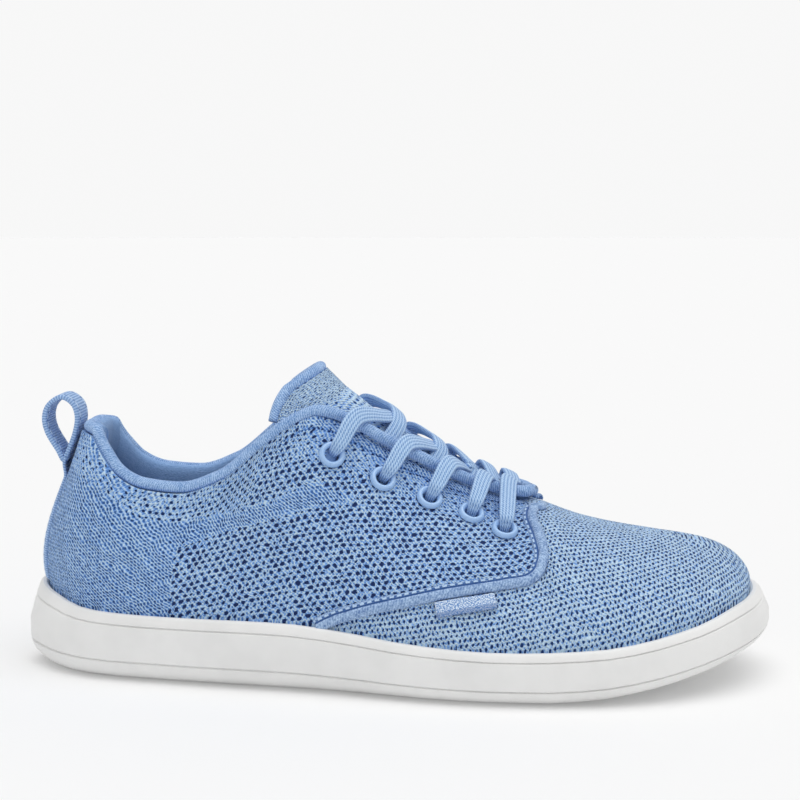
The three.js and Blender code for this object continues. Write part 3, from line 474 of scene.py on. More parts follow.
@functools.cache
def below_top(t):
    """Distances down from the top edge at even steps of the wall."""
    points = [upper_point(t, 1 - k / down_steps) for k in range(down_steps + 1)]
    total = [0]
    for a, b in zip(points, points[1:]):
        total.append(total[-1] + (b - a).length)
    return total


def on_side(side, t):
    return t if side == -1 else 2 - t


run_steps, run_from, down_steps = 200, 0.62, 60
row_rise = ((0, 150, 190, 230, 270), (0, 46, 56, 62, 64))


@functools.cache
def run_along(side, up):
    """Lengths along one row of the knit, counted from the front of the throat."""
    points = [upper_point(on_side(side, k / run_steps), up) for k in range(run_steps + 1)]
    total = [0]
    for before, after in zip(points, points[1:]):
        total.append(total[-1] + (after - before).length)
    start = total[round(run_from * run_steps)]
    return [length - start for length in total]


@functools.cache
def vamp_stretch(side, up):
    """Share that makes a row as long on both sides of the toe."""
    return (run_along(-1, up)[-1] + run_along(1, up)[-1]) / 2 / run_along(side, up)[-1]


dense_above = (  # length and height of the dense knit's edges, in millimetres
    (0, 0, 14.8, 25, 36, 47, 60, 72.8, 94.8, 106.5, 125),
    (90, 84, 77, 70, 63, 57.4, 56.5, 58.5, 64.8, 72, 66),
)
dense_below = ((52, 60, 72.8, 94.8, 108, 125), (-60, 48, 51.8, 59.2, 63, 66))
band_line = (  # share of the length, then how high up the wall the vamp ends there
    (0.40, 0.44, 0.5, 0.575, 0.645, 0.684, 0.7, 0.712),
    (0, 0.09, 0.21, 0.322, 0.392, 0.42, 0.6, 1.1),
)


def straight(table, x):
    xs, ys = table
    if x <= xs[0]:
        return ys[0]
    for k in range(1, len(xs)):
        if x <= xs[k]:
            return ys[k - 1] + (ys[k] - ys[k - 1]) * (x - xs[k - 1]) / max(xs[k] - xs[k - 1], 1e-6)
    return ys[-1]


def upper_place(around, rise):
    w = around * 2
    side, t = walk(w)
    up = max(0, (rise - 0.07) / 0.93)
    spot = upper_point(w, up)
    if rise < 0.07:
        spot.z = floor_at(t) + clearance + (rim_at(t) - floor_at(t) - clearance) * rise / 0.07
    distances = below_top(round(w, 7))
    step = (1 - up) * down_steps
    above, under = distances[int(step)], distances[min(int(step) + 1, down_steps)]
    below = above + (under - above) * (step % 1)
    row = run_along(side, round(up, 4))
    at = t * run_steps
    near, far = int(at), min(int(at) + 1, run_steps)
    along = row[near] + (row[far] - row[near]) * (at % 1)
    along *= vamp_stretch(side, round(up, 4)) if along > 0 else 1
    base = along_of(t)
    inside = min(straight(dense_above, spot.x) - spot.z, spot.z - straight(dense_below, spot.x))
    dense = eased(-2, 2.5, inside)
    vamp = eased(-0.02, 0.02, straight(band_line, base) - up) if base < 0.73 else 1
    stay = (1 - eased(14, 19, below)) * eased(0.31, 0.37, base) * (1 - vamp)
    near_heel, near_edge = 1 - eased(25, 62, spot.x), 1 - eased(2, 8, below)
    opened = (1 - dense) * (1 - 0.5 * stay) * (1 - 0.5 * near_heel) * (1 - 0.35 * near_edge)
    throat = eased(0.30, 0.34, base) * (1 - vamp)
    heel_band = (1 - eased(0.27, 0.33, base)) * (1 - eased(18, 22, below))
    collar_run = along - row[round(0.2 * run_steps)]
    tall, other = distances[-1], below_top(round((2 - w) % 2, 7))[-1]
    evened = (tall + (other - tall) / 2 * eased(0.66, 0.75, base)) / tall
    course = (tall - below) * evened - straight(row_rise, spot.x)
    zone = Vector((opened, vamp - heel_band, throat))
    return spot, Vector((along, course, below)), zone, collar_run


def cells(u, v, pitch, course):
    """Staggered cells in millimetres: the way from each one's middle, and three chances."""
    row = v / course
    number = row.math("FLOOR", row)
    run = u / pitch + (number * 0.5).fract()
    spot = u.node("ShaderNodeCombineXYZ", {}, {0: run.math("FLOOR", run), 1: number})
    flat = {"noise_dimensions": "2D"}
    chances = u.node("ShaderNodeTexWhiteNoise", flat, {"Vector": spot}, out="Color").split()
    return (run.fract() - 0.5) * pitch, (row.fract() - 0.5) * course, chances


def holes_of(u, v, pitch, course, width, height, opened, ragged):
    """How far a staggered mesh is closed: 0 in each hole and 1 on the yarn."""
    du, dv, (shift, lift, chance) = cells(u, v, pitch, course)
    wide = du + (shift - 0.5) * (0.12 * pitch) + ragged
    high = dv + (lift - 0.5) * (0.12 * course) - ragged
    size = ramped(opened + 0.45 * chance, 0.3, 1.15) * (0.75 + 0.35 * chance)
    reach = ((wide * wide) * (1 / width**2) + (high * high) * (1 / height**2)) ** 0.5
    return ramped(reach - size, -0.22, 0.38)


def strands_of(u, v, lean, pitch, girth):
    """Thin lines of yarn at a lean, with a row of short slits between each two, coloured as painted
    shade.
    """
    run, over = u * math.cos(lean) + v * math.sin(lean), v * math.cos(lean) - u * math.sin(lean)
    du, dv, (_, _, chance) = cells(run, over, pitch, girth)
    slit = (du * du) * (2.4 / pitch**2) + (dv * dv) * (4.8 / girth**2)
    return ramped(slit + 0.25 * chance, -0.05, 1.15)


def knitted(name, quarter, vamp, lift=0.0):
    """Yarn knitted to an open mesh: pitch, course, width and height of its holes in millimetres."""
    material, wire, feed = blank(name)
    weave = wire.node("ShaderNodeAttribute", {"attribute_name": "weave"}, out="Vector")
    zone = wire.node("ShaderNodeAttribute", {"attribute_name": "zone"}, out="Vector")
    opened, front, throat = zone.split()
    slow = {"Vector": weave, "Scale": 0.16, "Detail": 2}
    drift = wire.node("ShaderNodeTexNoise", {}, slow, out="Color")
    times, plus = {"operation": "MULTIPLY"}, {"operation": "ADD"}
    shift = wire.node("ShaderNodeVectorMath", times, {0: drift, 1: (2.6, 1.8, 0)})
    u, v, depth = wire.node("ShaderNodeVectorMath", plus, {0: weave, 1: shift}).split()
    quick = {"Vector": weave, "Scale": 1.15, "Detail": 2, "Roughness": 0.6}
    fuzz = wire.node("ShaderNodeTexNoise", {}, quick)
    ragged = (fuzz - 0.5) * 0.9
    on_vamp, by_collar = ramped(front, 0.45, 0.55), ramped(0 - front, 0.45, 0.55)
    on_quarter = holes_of(u, v, *quarter, opened, ragged)
    plain = blended(on_vamp, on_quarter, holes_of(u, v, *vamp, opened, ragged * 0.45))
    collar = wire.node("ShaderNodeAttribute", {"attribute_name": "collar"}, out="Fac")
    around_collar = holes_of(collar, depth, 2.4, 2.1, 0.58, 0.5, opened, ragged * 0.6)
    plain = blended(by_collar, plain, around_collar)
    forward = strands_of(u + ragged * 0.35, v + ragged * 0.35, -0.82, 1.9, 0.9)
    back = strands_of(u + ragged, v - ragged, 0.8, 1.7, 1.1)
    tight = blended(ramped(opened, 0.1, 0.7), forward, forward * 0.55 + back * 0.5 + 0.2)
    courses = on_vamp * (abs((v / vamp[1]).fract() - 0.5) * 0.6 - 0.1)
    yarn = tight * 0.8 + fuzz * 1.0 - 0.45 + courses
    # Seam groove by the throat: a bump, and painted shade through the colour ramp.
    seam = 1 - ramped(abs(depth - 4.6), 0.2, 0.75)
    height = plain * (0.12 + 0.88 * yarn) - 0.3 * seam * throat
    patches = wire.node("ShaderNodeTexNoise", {}, {"Vector": weave, "Scale": 0.05, "Detail": 2})
    # By height: yarn blues, painted shade in holes and slits, painted highlight on raised yarn.
    stops = [
        (0.0, tone(14, 38, 88)),
        (0.15, tone(30, 68, 130)),
        (0.34, tone(74, 124, 198)),
        (0.6, tone(126, 176, 246)),
        (0.94, tone(206, 233, 255)),
    ]
    shade = height + 0.12 * (patches - 0.5) + on_vamp * 0.05 + lift
    feed("Base Color", wire.node("ShaderNodeValToRGB", {"stops": stops}, {0: shade}))
    feed("Roughness", 0.9)
    feed("Sheen Weight", 0.06)
    feed("Sheen Roughness", 0.5)
    feed("Specular IOR Level", 0.35)
    feed("Normal", relief(height, 0.0008))
    return material


sock = knitted("open knit", (2.7, 2.0, 0.7, 0.6), (1.8, 1.9, 0.36, 0.56))
tongue_knit = knitted("tongue knit", (2.7, 2.0, 0.7, 0.6), (2.1, 1.6, 0.42, 0.42), 0.1)
lining, wire, feed = blank("collar lining")
weave = wire.node("ShaderNodeAttribute", {"attribute_name": "weave"}, out="Vector")
threads = wire.node("ShaderNodeMapping", {}, {"Vector": weave, "Scale": (1.1, 2.2, 1)})
fine = wire.node("ShaderNodeTexNoise", {}, {"Vector": threads, "Scale": 1.6, "Detail": 2})
feed("Base Color", tinted(fine, tone(88, 130, 190), tone(168, 204, 246)))
feed("Roughness", 0.92)
feed("Sheen Weight", 0.15)
feed("Normal", relief(fine, 0.00035))

eyelet_spots = ((0.391, 1), (0.462, 0.98), (0.534, 0.98), (0.602, 1.14), (0.654, 1.66))
eyelet_drop = 12.4


def eyelet_seat(side, number):
    base, drop = eyelet_spots[number]
    w = on_side(side, station(base))
    return seat(w, up_below_top(w, eyelet_drop * drop))


sock_shape = grid_shape(320, 52, upper_place, zones=True)
holes = [in_frame(eyelet_seat(side, number)[0]) for side in (-1, 1) for number in range(5)]
punch_radius = 0.0029  # metres, just more than the eyelet's barrel
punched = [
    face
    for face in sock_shape.faces
    if min((face.calc_center_median() - hole).length for hole in holes) < punch_radius
]
bmesh.ops.delete(sock_shape, geom=punched, context="FACES")
sock_piece = finished("knit_upper", sock_shape, [sock, lining], "knit", "upper")
padding = sock_piece.vertex_groups.new(name="padding")
zone = sock_piece.data.attributes["zone"].data
weaves = sock_piece.data.attributes["weave"].data
for vert in sock_piece.data.vertices:
    along, _, below = weaves[vert.index].vector
    padding.add([vert.index], (1 - eased(8, 32, below)) * (1 - eased(62, 88, along)), "REPLACE")
thickness = sock_piece.modifiers.new("wall", "SOLIDIFY")
thickness.thickness, thickness.offset = 0.0052, -1
thickness.vertex_group, thickness.thickness_vertex_group = "padding", 0.46
thickness.material_offset = thickness.material_offset_rim = 1
thickness.use_quality_normals = True

# Tongue: padded knit, sewn in under the vamp and loose above it. It follows the inside of
# the upper beside the throat, arches across and stands up past the collar.
tongue_foot, tongue_head, free_from, tongue_gap, tongue_thickness = 0.745, 0.36, 0.74, 1.5, 3.6
tongue_reach, tongue_rise, arch_fullness, arch_lean = 24, 11.5, 1.12, 10


def tongue_skin(rise, across):
    bound = min(rise / free_from, 1)
    free = max(rise - free_from, 0) / (1 - free_from)
    t = station(tongue_foot) + (station(tongue_head) - station(tongue_foot)) * bound

    def under(side, up):
        at, out, *_ = seat(on_side(side, t), up)
        return at - out * (wall_at(on_side(side, t), up) + tongue_gap)

    side = -1 if across < 0 else 1
    if abs(across) > 0.5:
        low = up_below_top(on_side(side, t), tongue_reach * (1 - 0.35 * free))
        point = under(side, 1 + (low - 1) * (abs(across) - 0.5) * 2)
    else:
        start, end = under(-1, 1), under(1, 1)
        wide = (end - start).length * arch_fullness / 3
        lean = Vector((arch_lean * bound, 0, 0))
        leave = start + (start - under(-1, 0.97)).normalized() * wide + lean
        enter = end + (end - under(1, 0.97)).normalized() * wide + lean
        s = across + 0.5
        rest = 1 - s
        point = start * rest**3 + leave * (3 * s * rest**2)
        point += enter * (3 * s * s * rest) + end * s**3
    dip = 1 - 0.4 * math.cos(across * math.pi / 2) ** 2
    point.x -= tongue_rise * free * dip
    point.z += tongue_rise * free * dip
    point.y *= 1 - 0.2 * free**0.6
    return point


def tongue_seat(rise, across):
    low, high = max(rise - 0.02, 0), min(rise + 0.02, 1)
    left, right = max(across - 0.02, -1), min(across + 0.02, 1)
    along = tongue_skin(high, across) - tongue_skin(low, across)
    over = tongue_skin(rise, right) - tongue_skin(rise, left)
    return tongue_skin(rise, across), over.cross(along).normalized(), along.normalized()


def tongue_place(across, rise):
    share = across * 2 - 1
    at = tongue_skin(rise, share)
    return at, Vector((share * 34, rise * 96, 0)), Vector((0.5, 1, 0)), 0


tongue_shape = grid_shape(44, 60, tongue_place, zones=True)
tongue = finished("knit_tongue", tongue_shape, [tongue_knit, lining], "knit", "tongue")
thickness = tongue.modifiers.new("padding", "SOLIDIFY")
thickness.thickness, thickness.offset, thickness.material_offset = tongue_thickness / 1000, -1, 1

# Bindings: fine rib tape rolled over the collar's edge and down both sides of the throat,
# and one along the tongue's top. They are sewn on, with the roll outside.
binding_diameter, binding_turn = 4.2, 35


def capped(shape):
    """Close a shape's open ends and turn its faces out."""
    ends = [edge for edge in shape.edges if edge.is_boundary]
    bmesh.ops.holes_fill(shape, edges=ends, sides=0)
    bmesh.ops.recalc_face_normals(shape, faces=shape.faces)


def sweep(path, profile, closed=False, girth=None):
    """Closed profile of (sideways, outwards), run along seats of a point and its way out."""
    count = len(path)
    rings, run = [], 0
    for i, (at, out) in enumerate(path):
        after = path[(i + 1) % count if closed else min(i + 1, count - 1)][0]
        before = path[i - 1 if closed or i else 0][0]
        ahead = (after - before).normalized()
        sideways = ahead.cross(out).normalized()
        square = sideways.cross(ahead).normalized()
        run += (at - path[i - 1][0]).length if i else 0
        rings.append((at, sideways, square, run, girth[i] if girth else (1, 1)))
    if closed:
        rings.append((*rings[0][:3], run + (path[0][0] - path[-1][0]).length, rings[0][4]))

    def ring_place(turn, along):
        at, sideways, square, run, (wide, thick) = rings[round(along * (len(rings) - 1))]
        side, out = profile[round(turn * len(profile)) % len(profile)]
        return at + sideways * side * wide + square * out * thick, Vector((run, side, out))

    shape = grid_shape(len(profile), len(rings) - 1, ring_place)
    if closed:
        bmesh.ops.recalc_face_normals(shape, faces=shape.faces)
    else:
        capped(shape)
    return shape


def oval(width, thickness, squareness=2, points=24):
    """Profile of a flat oval, squarer at its sides the higher its squareness."""

    def even(share):
        return math.copysign(abs(share) ** (2 / squareness), share)

    turns = [2 * math.pi * k / points for k in range(points)]
    return [(even(math.cos(a)) * width / 2, even(math.sin(a)) * thickness / 2) for a in turns]


def binding_seat(w):
    at, out, climb, _ = seat(w, 1)
    t = walk(w)[1]
    down = eased(station(0.34), station(0.42), t)
    end = eased(station(0.62), throat_end, t)
    turn = math.radians(binding_turn * down + (90 - binding_turn) * end)
    reach_out = binding_diameter / 2 + 3.8 * clearance
    spot = at - out * wall_at(w, 1) / 2 * (1 - down)
    return spot + climb * reach_out * math.cos(turn) * 0.75 + out * reach_out * math.sin(turn), out


def ribbed(name, pitch, colours, depth=0.00025, slant=0.4, share=0.42, stitched=0):
    """Fine rib across a tape, with a little slant and loose yarn, and stitches if wanted."""
    material, wire, feed = blank(name)
    weave = wire.node("ShaderNodeAttribute", {"attribute_name": "weave"}, out="Vector")
    run, side, out = weave.split()
    fuzz = wire.node("ShaderNodeTexNoise", {}, {"Vector": weave, "Scale": 1.4, "Detail": 3})
    phase = ((run + side * slant + out * slant) / pitch + fuzz * 1.6) * 6.2832
    rib = phase.math("SINE", phase) * 0.5 + 0.5
    patches = wire.node("ShaderNodeTexNoise", {}, {"Vector": weave, "Scale": 0.3, "Detail": 3})
    height = rib * share + fuzz * (1.22 - share)
    if stitched:
        ridge, groove = (1 - ramped(abs(abs(side) - 1.7), 0.15, 0.4)), abs(abs(side) - 1.05)
        stitch_row = ridge * (1 - ramped(out, 1.15, 1.3))
        groove = (1 - ramped(groove, 0.1, 0.45)) * (1 - ramped(out, 0.9, 1.15))
        dash = (run / stitched).fract()
        stitch = ramped(dash, 0.1, 0.25) * (1 - ramped(dash, 0.7, 0.85))
        # The groove by the stitched ridge is a bump and is also painted darker as shade.
        height = height - groove * 0.55 + stitch_row * (stitch - 0.5) * 0.9
    shade = ramped(height + 0.5 * (patches - 0.5), 0.15, 1.05)
    feed("Base Color", tinted(shade, colours[0], colours[1]))
    feed("Roughness", 0.85)
    feed("Sheen Weight", 0.15)
    feed("Normal", relief(height, depth))
    return material


rib_tape = ribbed("rib tape", 0.8, (tone(88, 134, 196), tone(184, 214, 250)), 0.00022)
count = 300
collar_path = [binding_seat(throat_end * (2 * k / count - 1)) for k in range(count)]
collar_shape = sweep(collar_path, oval(binding_diameter, binding_diameter, 2, 16), closed=True)
finished("collar_binding", collar_shape, [rib_tape], "binding_knit", "topline_binding")

# Collar lining: smooth knit over a soft roll of foam, turned in under the binding and
# sewn down inside. It is fullest at the heel and runs out flat towards the throat.
roll_end, roll = 0.4, (  # depth below the top edge, then how far it stands into the shoe
    (-3.4, -1.8), (-4.4, -0.8), (-4.7, 0.6), (-4.2, 1.9), (-2.6, 3.1), (0.5, 4.0), (4.5, 4.4),
    (9, 4.0), (14, 2.8), (19, 1.3), (23, 0.1), (22, -1.2), (10, -1.4), (0, -1.4),
)


def roll_place(turn, along):
    w = station(roll_end) * (2 * along - 1)
    depth, stand = roll[round(turn * len(roll)) % len(roll)]
    full = 1 - eased(station(0.16), station(roll_end), abs(w))
    at, out, climb, _ = seat(w, up_below_top(w, max(depth, 0)))
    inward = stand * (0.25 + 0.75 * full) if stand > 0 else stand
    spot = at - out * (wall_at(w, 1) + inward) - climb * min(depth, 0)
    return spot, Vector((along * 190, depth, stand))


roll_shape = grid_shape(len(roll), 160, roll_place)
capped(roll_shape)
soft_roll = finished("collar_lining", roll_shape, [lining], "knit")
fullness = soft_roll.modifiers.new("fullness", "SUBSURF")
fullness.levels = fullness.render_levels = 1

lift = binding_diameter / 2 + 4 * clearance
tongue_path = []
for k in range(61):
    at, out, climb = tongue_seat(1, k / 30 - 1)
    tongue_path.append((at - out * tongue_thickness / 2 + climb * (lift - 1.4), out))
tongue_edge = sweep(tongue_path, oval(binding_diameter, binding_diameter * 1.1, 2, 16))
finished("tongue_edge_binding", tongue_edge, [rib_tape], "binding_knit", "tongue_binding")

# Seam bands: the quarter's knitted edge folded over and stitched to the vamp, one on each
# side, from the throat's end round to the sole. A second, thinner ridge runs beside each.
band_width, band_foot = 5, ((0.422, 0.05), (0.405, 0.005))
band_path = (  # share of the length, then how high up the wall
    (0.724, 0.9), (0.7, 0.79), (0.705, 0.62), (0.704, 0.5), (0.684, 0.42), (0.645, 0.392),
    (0.575, 0.322), (0.5, 0.21), (0.44, 0.09),
)


def smooth_between(a, b, c, d, s):
    """Point at a share s from b to c, on a smooth curve that also heeds a and d."""
    bend = (2 * a - 5 * b + 4 * c - d) * s * s
    return ((2 * b) + (c - a) * s + bend + (3 * b - a - 3 * c + d) * s**3) / 2


def curve_through(points, count):
    """Even run of points along a smooth curve through the given ones."""
    ends = [points[0] * 2 - points[1], *points, points[-1] * 2 - points[-2]]
    found = []
    spans = len(points) - 1
    for k in range(count + 1):
        at = k / count * spans
        i = min(int(at), spans - 1)
        found.append(smooth_between(*ends[i : i + 4], at - i))
    return found


fold = [  # sideways and outwards: the wide roll, a groove and the thin stitched ridge
    (-2.6, -0.2), (-2.55, 0.7), (-1.9, 1.45), (-1.0, 1.8), (0, 1.75), (0.6, 1.2),
    (0.85, 0.6), (1.1, 0.75), (1.5, 1.05), (2.0, 1.0), (2.4, 0.6), (2.6, -0.2),
]
band_tones = (tone(62, 104, 168), tone(192, 220, 250))
band_knit = ribbed("band knit", 1.0, band_tones, 0.00025, share=0.16, stitched=2.6)
for side, word in ((-1, "outer"), (1, "inner")):
    course = curve_through([Vector((base, up, 0)) for base, up in (*band_path, *band_foot)], 130)
    path = []
    for spot in course:
        at, out, *_ = seat(on_side(side, station(spot.x)), spot.y)
        path.append((at + out * clearance, out))
    profile = [(s * -side, o) for s, o in fold]
    band = sweep(path, profile)
    finished(f"folded_seam_{word}", band, [band_knit], "binding_knit", f"seam_band_{word}")

# Side tag: a short piece of woven tape folded in two and caught under the seam band. It
# is bare.
tag_at, tag_length, tag_drop, tag_thickness = 0.596, 21, 5.4, 1.2
falling = sorted(row for row in band_path if row[1] < 0.4)
tag_weave, wire, feed = blank("tag weave")
run, drop, out = wire.node("ShaderNodeAttribute", {"attribute_name": "weave"}, out="Vector").split()
threads = wire.node("ShaderNodeCombineXYZ", {}, {0: run, 1: drop * 1.4, 2: out})
fleck = wire.node("ShaderNodeTexNoise", {}, {"Vector": threads, "Scale": 1.9, "Detail": 2})
speckled = tinted(ramped(fleck, 0.4, 0.6), tone(98, 144, 206), tone(226, 240, 255))
# The lower part of the folded tag is painted darker as shade.
feed("Base Color", tinted(ramped(drop, 0.8, 1.2) * 0.55, speckled, tone(64, 104, 166)))
feed("Roughness", 0.85)
feed("Normal", relief(fleck, 0.0003))
path = []
for k in range(25):
    base = tag_at + (k / 24 - 0.5) * tag_length / sole_length
    w = station(base)
    up = between([row[0] for row in falling], [row[1] for row in falling], base)
    tall = (upper_point(w, 1) - upper_point(w, 0)).length
    at, out, *_ = seat(w, up - (band_width / 2 + clearance * 2 + tag_drop / 2) / tall)
    path.append((at + out * (clearance + 0.2 + tag_thickness / 2), out))
tag_shape = sweep(path, oval(tag_drop, tag_thickness, 5, 28))
finished("folded_tag", tag_shape, [tag_weave], "webbing", "side_tag")

# Heel webbing: one tape sewn down the back seam, and a drop-shaped loop of the same tape
# that stands up from it. It has fine cross ribs and a row of stitches near each edge.
web_width, web_thickness, loop_height, loop_width = 15, 1.9, 23.5, 13.6
loop_course = (  # back and up from the foot, as shares of the loop's width and height
    (0, 0), (0.15, 0.15), (0.42, 0.42), (0.5, 0.65), (0.38, 0.85), (0.04, 0.97),
    (-0.28, 0.86), (-0.38, 0.65), (-0.3, 0.4), (-0.13, 0.15),
)


def webbed(name):
    material, wire, feed = blank(name)
    weave = wire.node("ShaderNodeAttribute", {"attribute_name": "weave"}, out="Vector")
    run, side, _ = weave.split()
    fuzz = wire.node("ShaderNodeTexNoise", {}, {"Vector": weave, "Scale": 2.5, "Detail": 3})
    phase = (run / 0.95 + fuzz * 0.35) * 6.2832
    rib = phase.math("SINE", phase) * 0.5 + 0.5
    row = 1 - ramped(abs(abs(side) - 5.4), 0.35, 0.6)
    dash = (run / 3.2).fract()
    thread = row * ramped(dash, 0.12, 0.2) * (1 - ramped(dash, 0.8, 0.88))
    height = blended(row, rib * 0.6 + fuzz * 0.3, 0.15) + thread * 0.85
    ground = tinted(ramped(height, -0.2, 0.9), tone(94, 136, 196), tone(178, 208, 246))
    ground = tinted(row * 0.6, ground, tone(54, 92, 154))
    feed("Base Color", tinted(thread, ground, tone(196, 220, 250)))
    feed("Roughness", 0.8)
    feed("Sheen Weight", 0.1)
    feed("Normal", relief(height, 0.0003))
    return material


webbing = webbed("heel webbing")
foot_at, foot_out, *_ = seat(0, 0.8)
foot = foot_at + foot_out * (clearance * 2 + web_thickness)
loop_points = [
    Vector((foot.x - back * loop_width, foot.y, foot.z + up * loop_height))
    for back, up in loop_course
]
ringed = [*loop_points[-1:], *loop_points, *loop_points[:2]]
loop_run = []
for i in range(len(loop_points)):
    for k in range(12):
        loop_run.append(smooth_between(*ringed[i : i + 4], k / 12))
heart = Vector((foot.x - 0.12 * loop_width, foot.y, foot.z + 0.6 * loop_height))
loop_path = [(at, (at - heart).normalized()) for at in loop_run]
loop_shape = sweep(loop_path, oval(web_width, web_thickness, 6, 32), closed=True)
finished("heel_loop", loop_shape, [webbing], "webbing", "pull_loop")


def tape_place(turn, along):
    up = 0.05 + 0.76 * along
    side, out = tape_profile[round(turn * len(tape_profile)) % len(tape_profile)]
    share = side / (web_width / 2)
    w = 0.055 * share
    for _ in range(8):
        if abs(share) > 1e-6:
            w *= (web_width / 2 * share) / upper_point(w, up).y
    at, away, *_ = seat(w, up)
    return at + away * (0.2 + out + 2.4 * eased(0.84, 0.97, along)), Vector((along * 50, side, out))


tape_profile = oval(web_width, web_thickness * 0.7, 5, 28)
tape_shape = grid_shape(len(tape_profile), 40, tape_place)
capped(tape_shape)
finished("heel_seam_tape", tape_shape, [webbing], "webbing", "heel_tape")

# Eyelets: smooth light blue plastic rings, pressed into punched holes. The barrel goes
# through the knit and the face is rounded over.
eyelet_diameter, eyelet_hole, eyelet_height, barrel_wall = 9.4, 5.2, 1.5, 0.7
ring_plastic, wire, feed = blank("eyelet plastic")
place = wire.node("ShaderNodeTexCoord", out="Object")
clouds = wire.node("ShaderNodeTexNoise", {}, {"Vector": place, "Scale": 300, "Detail": 2})
feed("Base Color", tinted(clouds, tone(150, 188, 234), tone(172, 206, 248)))
feed("Roughness", 0.2 + 0.12 * clouds)
feed("Coat Weight", 0.5)
hole, barrel, lowest = eyelet_hole / 2, eyelet_hole / 2 + barrel_wall, clearance * 0.5
ring_face = [(hole, -2.4), (barrel, -2.4), (barrel, lowest)]
half, mid = (eyelet_diameter / 2 - hole) / 2, (eyelet_diameter / 2 + hole) / 2
for k in range(9):
    angle = math.pi * k / 8
    rise = lowest + 0.25 + (eyelet_height + 0.1) * math.sin(angle)
    ring_face.append((mid + half * math.cos(angle), rise))
for number in range(5):
    for side, word in ((-1, "outer"), (1, "inner")):
        at, out, climb, along = eyelet_seat(side, number)
        shape = bmesh.new()
        verts = [shape.verts.new((r, 0, z)) for r, z in ring_face]
        lines = [shape.edges.new(pair) for pair in zip(verts, verts[1:] + verts[:1])]
        full_turn = {"axis": (0, 0, 1), "angle": 2 * math.pi, "steps": 36, "use_merge": True}
        bmesh.ops.spin(shape, geom=verts + lines, cent=(0, 0, 0), **full_turn)
        bmesh.ops.remove_doubles(shape, verts=shape.verts, dist=1e-4)
        across = out.cross(along)
        turn = Matrix((along, across, out)).transposed().to_4x4()
        for vert in shape.verts:
            vert.co = in_frame(at + turn @ vert.co)
        bmesh.ops.recalc_face_normals(shape, faces=shape.faces)
        place_name = f"{word}_{number + 1}"
        names = (f"ring_{place_name}", shape, [ring_plastic], "eyelet_ring")
        finished(*names, f"eyelet_{place_name}", sharp=50)

# Lace: one flat braid, drawn criss-cross from a bar at the lowest pair of eyelets up to the
# highest pair. It comes out of each eyelet, over the binding and under the far edge.
lace_width, lace_thickness = 6.4, 1.9
over_eyelet = clearance * 5 + eyelet_height + lace_thickness / 2
over_binding = binding_diameter * 0.85 + clearance * 4 + lace_thickness / 2
over_tongue = clearance * 2 + lace_thickness / 2


def braided(name):
    material, wire, feed = blank(name)
    weave = wire.node("ShaderNodeAttribute", {"attribute_name": "weave"}, out="Vector")
    run, side, _ = weave.split()
    fuzz = wire.node("ShaderNodeTexNoise", {}, {"Vector": weave, "Scale": 2.0, "Detail": 3})
    ridges = (side / 1.3 + 0.25) * 6.2832
    ridge = ridges.math("SINE", ridges) * 0.5 + 0.5
    plaits = (run / 1.1 + side * 0.7 + fuzz * 0.4) * 6.2832
    plait = plaits.math("SINE", plaits) * 0.5 + 0.5
    height = ridge * 0.36 + plait * 0.3 + fuzz * 0.6
    feed("Base Color", tinted(ramped(height, 0.15, 1.0), tone(84, 130, 194), tone(194, 224, 254)))
    feed("Roughness", 0.82)
    feed("Sheen Weight", 0.15)
    feed("Normal", relief(height, 0.0003))
    return material


braid = braided("lace braid")


def rise_at(t):
    return free_from * (t - station(tongue_foot)) / (station(tongue_head) - station(tongue_foot))


def above_binding(side, t):
    at, out, climb, _ = seat(on_side(side, t), 1)
    return at + climb * binding_diameter / 2 + out * over_binding, out


def out_of_eyelet(side, number, toward):
    """Seats from inside an eyelet's hole to just over its ring, on the way to a point."""
    at, out, climb, along = eyelet_seat(side, number)
    way = toward - at
    way = (way - out * way.dot(out)).normalized()
    return [
        (at - out * 2.6 + way * 1.2, way * -1),
        (at - out * 0.4 + way * 1.3, (out * 0.15 - way).normalized()),
        (at + out * 1.7 + way * 2.1, (out - way).normalized()),
        (at + out * (over_eyelet + 0.2) + way * 4.6, (out - way * 0.1).normalized()),
    ]


def laid(keys, girths, count):
    points = curve_through([at for at, _ in keys], count)
    outs = curve_through([out for _, out in keys], count)
    sizes = curve_through([Vector((*girth, 0)) for girth in girths], count)
    path = [(point, out.normalized()) for point, out in zip(points, outs)]
    flat = oval(lace_width, lace_thickness, 2.6, 20)
    return sweep(path, flat, girth=[(size.x, size.y) for size in sizes])


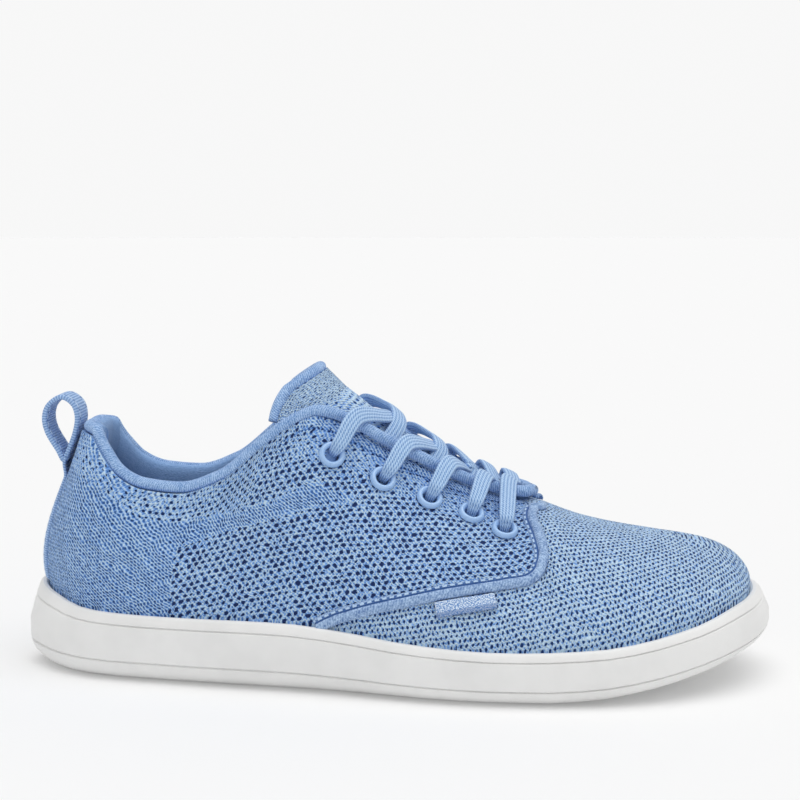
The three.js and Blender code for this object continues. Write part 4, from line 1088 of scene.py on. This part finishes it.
start_girth = [(0.56, 1.0), (0.58, 1.05), (0.68, 1.1), (0.86, 1.0)]
for number in range(4):
    bases = [station(eyelet_spots[k][0]) for k in (number, number + 1)]

    def toward(share):
        return bases[0] + (bases[1] - bases[0]) * share

    strands = []
    for side, over in ((-1, 0), (1, lace_thickness * 0.95)):
        taken = binding_diameter + lace_width / 2 + lace_thickness * 2.2
        far = 0.5 * max(0.06, 1 - taken / top_half(toward(0.72)))

        def cross(share, across, height):
            at, out, _ = tongue_seat(rise_at(toward(share)), across * side)
            return at + out * height, out

        edge = above_binding(side, toward(0.15))
        keys = [
            *out_of_eyelet(side, number, edge[0]),
            edge,
            cross(0.4, far, over_tongue + 1.2 + over),
            cross(0.55, 0, over_tongue + 0.5 + over),
            cross(0.69, -far, over_tongue + over * 0.4),
            cross(0.84, -0.5, over_tongue * 0.9),
            cross(0.95, -0.62, over_tongue * 0.3),
        ]
        girths = [*start_girth, (1, 1), (1, 1), (1, 1), (1, 1), (1, 0.8), (0.9, 0.5)]
        strands.append(laid(keys, girths, 90))
    whole = strands[0]
    spare = bpy.data.meshes.new("strand")
    strands[1].to_mesh(spare)
    strands[1].free()
    whole.from_mesh(spare)
    bpy.data.meshes.remove(spare)
    finished(f"lace_cross_{number + 1}", whole, [braid], "lace", f"lace_crossing_{number + 1}")
t = station(eyelet_spots[4][0])
halves = []
for side in (-1, 1):
    edge = above_binding(side, t)
    halves.append([*out_of_eyelet(side, 4, edge[0]), edge])
crest = tongue_seat(rise_at(t), 0)
top = (crest[0] + crest[1] * (over_binding + tongue_gap), crest[1])
keys = [*halves[0], top, *reversed(halves[1])]
girths = [*start_girth, (1, 1), (1, 1), (1, 1), *reversed(start_girth)]
finished("lace_lowest_bar", laid(keys, girths, 110), [braid], "lace", "lace_bar")

# Floor and light: a pale sheet that runs out to a backdrop of the same brightness, under
# soft daylight from all round and one broad light from above the heel.
for name, radius, glow in (("floor", 12, 0.13), ("backdrop", 11, 0.935)):
    shape = bmesh.new()
    if name == "floor":
        bmesh.ops.create_circle(shape, cap_ends=True, radius=radius, segments=96)
    else:
        bmesh.ops.create_uvsphere(shape, u_segments=48, v_segments=24, radius=radius)
    mesh = bpy.data.meshes.new(name)
    shape.to_mesh(mesh)
    shape.free()
    paper, wire, feed = blank(f"pale {name}")
    place = wire.node("ShaderNodeTexCoord", out="Object")
    mottle = wire.node("ShaderNodeTexNoise", {}, {"Vector": place, "Scale": 2})
    share = 0.8 if name == "floor" else 0
    feed("Base Color", (share, share, share, 1))
    feed("Roughness", 0.96 + 0.02 * mottle)
    feed("Specular IOR Level", 0)
    feed("Emission Color", (1, 1, 1, 1))
    feed("Emission Strength", glow)
    mesh.materials.append(paper)
    sheet = bpy.data.objects.new(name, mesh)
    sheet.location.z = -0.0002
    if name == "backdrop":
        sheet.visible_diffuse = sheet.visible_glossy = False
        sheet.visible_shadow = sheet.visible_transmission = False
    bpy.context.scene.collection.objects.link(sheet)

light = bpy.data.lights.new("overhead", "SUN")
light.angle, light.energy = math.radians(60), 1.45
lamp = bpy.data.objects.new("overhead", light)
lamp.rotation_euler = Vector((-0.12, 0.16, -1)).to_track_quat("-Z", "Y").to_euler()
bpy.context.scene.collection.objects.link(lamp)
world = bpy.data.worlds.new("studio")
world.use_nodes = True
world.node_tree.nodes["Background"].inputs["Color"].default_value = (1, 1, 1, 1)
world.node_tree.nodes["Background"].inputs["Strength"].default_value = 0.57
bpy.context.scene.world = world
bpy.context.scene.view_settings.view_transform = "Standard"
